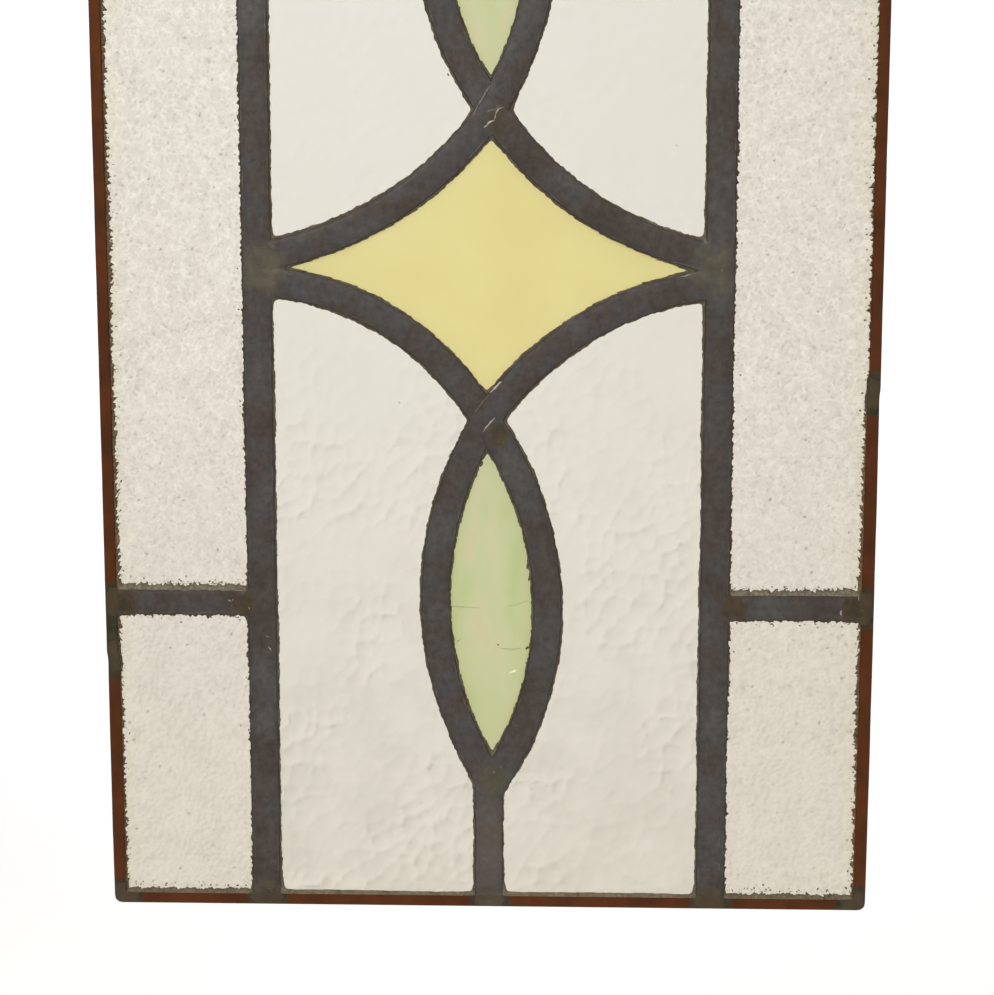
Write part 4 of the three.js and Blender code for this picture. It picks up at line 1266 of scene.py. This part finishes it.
def hammered_relief(plan, seed):
    """Shallow dimples and a slow swell of the sheet, plainer high up. The second result is the
    tone: painted light and shade that follow the slopes of the dimples, a little grime in
    streaks, painted shade that darkens the glass towards the foot of the panel, and a few
    small clear seeds."""
    x, z = plan[..., 0], plan[..., 1]
    lower = 0.25 + 0.75 * ease((330 - z) / 250)
    height = 0.10 * dimples(x, z, seed) * lower + 0.12 * cloud(x, z, 38, seed + 4)
    patches = 0.3 + 0.7 * ease((cloud(x, z, 26, seed + 8) - 0.3) / 0.4)
    streaks = cloud(x + 0.6 * z, z - 0.4 * x, 14, seed + 9)
    shaded = 0.75 * patches * lit(dimples, x, z, 0.5, seed)
    # painted light and shade from the dimples' slopes, and painted shade that darkens the glass towards the
    # foot of the panel
    tone = 0.25 + lower * (0.06 - shaded + 0.2 * (streaks - 0.5)) + 0.09 * ease((125 - z) / 80)
    seeds, seed_tag = cells(x, z, 9, seed + 11)
    tone = tone - 0.22 * (1 - np.clip(seeds / 0.14, 0, 1)) * (seed_tag > 0.6)
    return height, np.clip(tone, 0, 1)


def field_pane(level, side, seed):
    """A clear pane: rows of points from the upright lead across to the stem, leaf and slope."""
    lower = level == "lower"
    name = f"field_pane_{level}_{'left' if side < 0 else 'right'}"
    borders = field_borders(level, side)
    outline = ring(borders, [HIDDEN_HALF[b["kind"]] for b in borders], side_counts(borders, 1.0))
    x0 = side * (UPRIGHT_X - PANE_IN)
    low, high = outline[:, 1].min(), outline[:, 1].max()
    off_level = np.abs(outline[:, 1] - (low if lower else high)) > 0.01
    far = outline[(np.abs(outline[:, 0] - x0) > 0.2) & off_level]
    far = far[np.argsort(far[:, 1])]
    row_step, cols = (1.2, 78) if lower else (1.8, 50)
    ends = (low, high - FIELD_TRIM) if lower else (low + FIELD_TRIM, high)
    z = np.linspace(*ends, int((high - low) / row_step))[:, None]
    x1 = np.interp(z, far[:, 1], far[:, 0])
    u = np.linspace(0, 1, cols)
    plan = np.stack((x0 + u * (x1 - x0), z + 0 * u), -1)
    height, tone = hammered_relief(plan, seed)
    sheet(name, plan, GLASS_FACE - SKIN_DOWN + height, HAMMERED, "hammered_glass", tone=(tone, 0.3))


def opal_pane(name, plan, material_used, slot, seed):
    """A smooth sheet of opal glass. Its colour lies a little deeper beside the leads."""
    x, z = plan[..., 0], plan[..., 1]
    height = GLASS_FACE - 0.1 + 0.1 * cloud(x, z, 21, seed)
    u = np.linspace(-1, 1, plan.shape[1]) + 0 * x
    beside = 0.7 * ease((np.abs(u) - 0.35) / 0.5) * (0.4 + 0.6 * cloud(x, z, 25, seed + 3))
    deeper = np.clip(beside + 0.35 * ease((110 - z) / 35), 0, 1)
    sheet(name, plan, height, material_used, slot, beside=(deeper, 0.6))


def on_bend(way, off, values, axis, near):
    """Points of a bend shifted to its left, at given x (axis 0) or z (axis 1), from the circle's
    equation: the ones on the side of its centre where near lies."""
    radius = way["radius"] - way["side"] * off
    along = values - way["centre"][axis]
    other = np.sqrt(np.clip(radius ** 2 - along ** 2, 0, None))
    sign = 1 if near > way["centre"][1 - axis] else -1
    return way["centre"][1 - axis] + sign * other


def make_opal():
    """The diamond, as rows between its upper and lower bends, and the leaves, as rows between
    their left and right bends."""
    x = np.linspace(-90, 90, 110)
    left = x < MIDDLE_X
    bottom, top = (np.where(left, on_bend(SLOPES[level, -1], -grow, x, 0, near),
                            on_bend(SLOPES[level, 1], grow, x, 0, near))
                   for level, grow, near in (("lower", -PANE_IN, 240), ("upper", PANE_IN, 300)))
    v = np.linspace(0, 1, 66)[:, None]
    plan = np.stack((x + 0 * v, bottom + v * (top - bottom)), -1)
    opal_pane("diamond_pane", plan, YELLOW, "yellow_opal_glass", 801)
    u = np.linspace(0, 1, 44)
    for level in LEVELS:
        ways = LEAVES[level, -1], LEAVES[level, 1]
        low, high = sorted((ways[0]["start"][1], ways[0]["end"][1]))
        z = np.linspace(low + 4, high - 4, 110)
        x0, x1 = (on_bend(way, way["side"] * PANE_IN, z, 1, near)[:, None]
                  for way, near in zip(ways, (-30, 30)))
        plan = np.stack((x0 * (1 - u) + x1 * u, z[:, None] + 0 * u), -1)
        opal_pane(f"leaf_pane_{level}", plan, GREEN, "green_opal_glass", 811)


def make_panes():
    """Every pane of glass."""
    make_granite()
    for k, (level, side) in enumerate(SLOPES):
        field_pane(level, side, 900 + 13 * k)
    make_opal()


# ---- The edge came -----------------------------------------------------------------------------

def rim_section():
    """The U of the edge came as points (in from its outer face, height), all the way round."""
    r = 0.45  # radius of its outer edges
    turn = np.linspace(0, math.pi / 2, 4)
    corner = np.stack((r - r * np.cos(turn), RIM_HEIGHT - r + r * np.sin(turn)), -1)
    leaf = np.array(((1.6, RIM_HEIGHT - 0.02), (2.8, RIM_HEIGHT), (4.0, RIM_HEIGHT - 0.02),
                     (4.65, RIM_HEIGHT - 0.08), (RIM_FACE, RIM_HEIGHT - 0.35),
                     (RIM_FACE, CHANNEL_FACE + 0.2), (4.7, CHANNEL_FACE), (RIM_WEB, CHANNEL_FACE)))
    half = np.concatenate((corner, leaf))
    return np.concatenate((half, half[::-1] * (1, -1)))


DARK_LEFT = (96, 138)


def soldered_near(p):
    """1 close to a joint of the edge came, falling to 0 away from it: where it has tarnished.
    The left side is dark from its cross lead down past its splice, at heights DARK_LEFT."""
    amount = np.zeros(p.shape[:-1])
    for x, z, reach, *_ in joints():
        if abs(x) > 150 or min(z, HEIGHT - z) < 6:
            d = np.hypot(p[..., 0] - x, p[..., 1] - z)
            amount = np.maximum(amount, 1 - ease((d - 0.7 * reach) / (0.8 * reach)))
    low, high = (ease((p[..., 1] - z) / 10) for z in DARK_LEFT)
    return np.maximum(amount, 0.9 * (p[..., 0] < -150) * low * (1 - high))


def rounded(plan):
    """Plan points with the panel's corners rounded: beyond the middle of a corner's bend, each
    square about that middle is drawn in to a circle."""
    for side, way in ((-1, -1), (1, -1), (-1, 1), (1, 1)):
        reach = (SIDE_UPPER if way > 0 else SIDE_LOWER)[side]
        centre = np.array((side * (reach - RIM_CORNER), HEIGHT - RIM_CORNER if way > 0 else RIM_CORNER))
        out = (plan - centre) * (side, way)
        beyond = (out > 0).all(-1)
        scale = out.max(-1) / np.maximum(np.linalg.norm(out, axis=-1), 1e-6)
        plan = np.where(beyond[..., None], centre + (plan - centre) * scale[..., None], plan)
    return plan


def rim_length(name, start, end, mitres, seed, bow=0.0, short=0.6):
    """A length of the edge came: the U carried along the panel's outer line, walked with the
    panel on the left. Mitred ends lean by the depth in from the outer face, and at a splice the
    outer face moves over smoothly. bow lets the middle of its outer face stand further out, and short is
    how much narrower its back leaf is."""
    start, end = np.array(start, float), np.array(end, float)
    length = np.linalg.norm(end - start)
    along = (end - start) / length
    inward = np.array((-along[1], along[0]))
    section = rim_section()
    depth, height = section[:, 0][None, :], section[:, 1][None, :]
    t = np.linspace(0, 1, int(length / 1.6) + 2)[:, None]
    first, last = depth * mitres[0], depth * mitres[1]
    run = first + t * (length - first - last)
    uneven = 0.05 * wave(run[:, :1], 37, seed) * np.sin(math.pi * t) ** 0.2
    sunk = 0.07 + 0.04 * wave(run[:, :1], 61, seed + 1) - bow
    back_edge = (depth > 4.2) * (height < 0) * np.sin(math.pi * t) ** 0.2
    deep = depth + uneven * (depth > 3) - short * back_edge
    plan = start + run[..., None] * along + deep[..., None] * inward
    side = np.sign(start[0]) if abs(along[1]) > 0.5 else 0
    if side:
        shift = side_reach(int(side), plan[..., 1]) - abs(start[0])
        plan[..., 0] += side * (shift - sunk * np.sin(math.pi * t) ** 0.3 * (depth < 3))
    plan = rounded(plan)
    lumpy = 0.05 * (cloud(plan[..., 0], plan[..., 1] + 9 * np.sign(height), 6, seed + 2) - 0.5)
    places = in_space(plan, height + np.sign(height) * lumpy * (np.abs(height) > 2.8))
    values = {"solder": soldered_near(plan).ravel()}
    part = places.reshape(-1, 3), tube_faces(*places.shape[:2]), values
    piece(f"{name}_metal", [part], EDGE, [name])


def make_edge():
    """The six lengths of edge came, round from the lower left corner."""
    low_left, low_right = (-SIDE_LOWER[-1], 0), (SIDE_LOWER[1], 0)
    top_right, top_left = (SIDE_UPPER[1], HEIGHT), (-SIDE_UPPER[-1], HEIGHT)
    low_splice, high_splice = (SIDE_LOWER[1], SPLICE[1]), (SIDE_UPPER[1], SPLICE[1])
    rim_length("edge_came_bottom", low_left, low_right, (1, 1), 211)
    rim_length("edge_came_right_lower", low_right, low_splice, (1, 0), 221, bow=0.45)
    rim_length("edge_came_right_upper", high_splice, top_right, (0, 1), 231, bow=-0.1, short=1.0)
    rim_length("edge_came_top", top_right, top_left, (1, 1), 241)
    rim_length("edge_came_left_upper", top_left, (-SIDE_UPPER[-1], SPLICE[-1]), (1, 0), 251)
    rim_length("edge_came_left_lower", (-SIDE_LOWER[-1], SPLICE[-1]), low_left, (0, 1), 261, bow=0.4)


# ---- Camera, stage and light ---------------------------------------------------------------------

CAMERA_AT = (0.01922, -0.57517, 0.2384)  # m
CAMERA_TURNS = (1.513, -5.751, -0.030)  # yaw, pitch and roll, degrees
LENS = 48.844  # mm


def add_camera():
    """The camera stands a little right of and below the panel's middle, looking slightly down."""
    data = bpy.data.cameras.new("camera")
    data.sensor_width = 36
    data.lens = LENS
    data.clip_start = 0.01
    obj = add_object("camera", data)
    obj.location = CAMERA_AT
    yaw, pitch, roll = (math.radians(a) for a in CAMERA_TURNS)
    turn = Matrix.Rotation(yaw, 3, "Z") @ Matrix.Rotation(pitch, 3, "X") @ Matrix.Rotation(roll, 3, "Y")
    right, ahead, up = turn.col
    obj.rotation_euler = Matrix((right, up, -ahead)).transposed().to_euler()
    bpy.context.scene.camera = obj


def add_light(name, place_at, aim, size, power, colour, spread=180):
    """A soft square light at a place, turned to a point."""
    data = bpy.data.lights.new(name, "AREA")
    data.shape = "SQUARE"
    data.size = size
    data.energy = power
    data.spread = math.radians(spread)
    data.color = linear(colour)[:3]
    obj = add_object(name, data)
    start, end = np.array(place_at, float), np.array(aim, float)
    away = (start - end) / np.linalg.norm(start - end)
    side = np.cross((0, 0, 1), away)
    side /= np.linalg.norm(side)
    turn = Matrix(np.stack((side, np.cross(away, side), away), -1).tolist())
    obj.matrix_world = Matrix.Translation(start) @ turn.to_4x4()


def add_sweep():
    """A pale floor below the panel that curves up into a wall far behind it: a strip carried
    across, 9 m wide."""
    floor_z, wall_y, radius, top = -0.55, 3.0, 1.5, 4.0
    angle = np.linspace(0, math.pi / 2, 40)
    y = np.concatenate((np.linspace(-4, wall_y - radius, 12), wall_y - radius + radius * np.sin(angle)[1:],
                        np.full(8, wall_y)))
    z = np.concatenate((np.full(12, floor_z), floor_z + radius * (1 - np.cos(angle))[1:],
                        np.linspace(floor_z + radius, top, 9)[1:]))
    x = np.linspace(-4.5, 4.5, 10)
    grid = np.stack((x[:, None] + 0 * y, y + 0 * x[:, None], z + 0 * x[:, None]), -1)
    mesh = bpy.data.meshes.new("sweep")
    mesh.from_pydata(grid.reshape(-1, 3).tolist(), [], grid_faces(*grid.shape[:2])[:, ::-1].tolist())
    mesh.shade_smooth()
    mesh.materials.append(material("pale_painted_sweep", Base_Color="#f3f3f3", Roughness=0.9,
                                   Specular_IOR_Level=0.0)[0])
    add_object("sweep", mesh)


def add_world():
    """Even pale light from all round."""
    world = bpy.data.worlds.new("studio")
    world.use_nodes = True
    sky = world.node_tree.nodes["Background"]
    sky.inputs["Color"].default_value = (1.0, 0.975, 0.935, 1)
    sky.inputs["Strength"].default_value = 0.88
    bpy.context.scene.world = world


def light_and_stage():
    """The camera, the pale surroundings and three soft lights."""
    add_camera()
    add_world()
    add_sweep()
    add_light("wall_light", (-0.6, 1.4, 1.9), (0, 3.0, 0.9), 1.3, 16, "#cfdfff", spread=120)
    add_light("floor_light", (0.1, 0.2, 1.3), (0.2, 0.6, -0.55), 0.8, 11, "#fff5ea")
    add_light("key_light", (-0.7, -1.6, 1.9), (0, 0, 0.3), 1.0, 14, "#ffffff")
    bpy.context.scene.view_settings.view_transform = "Standard"


make_cames()
make_solder()
make_marks()
make_cement()
make_crumbs()
make_panes()
make_edge()
light_and_stage()
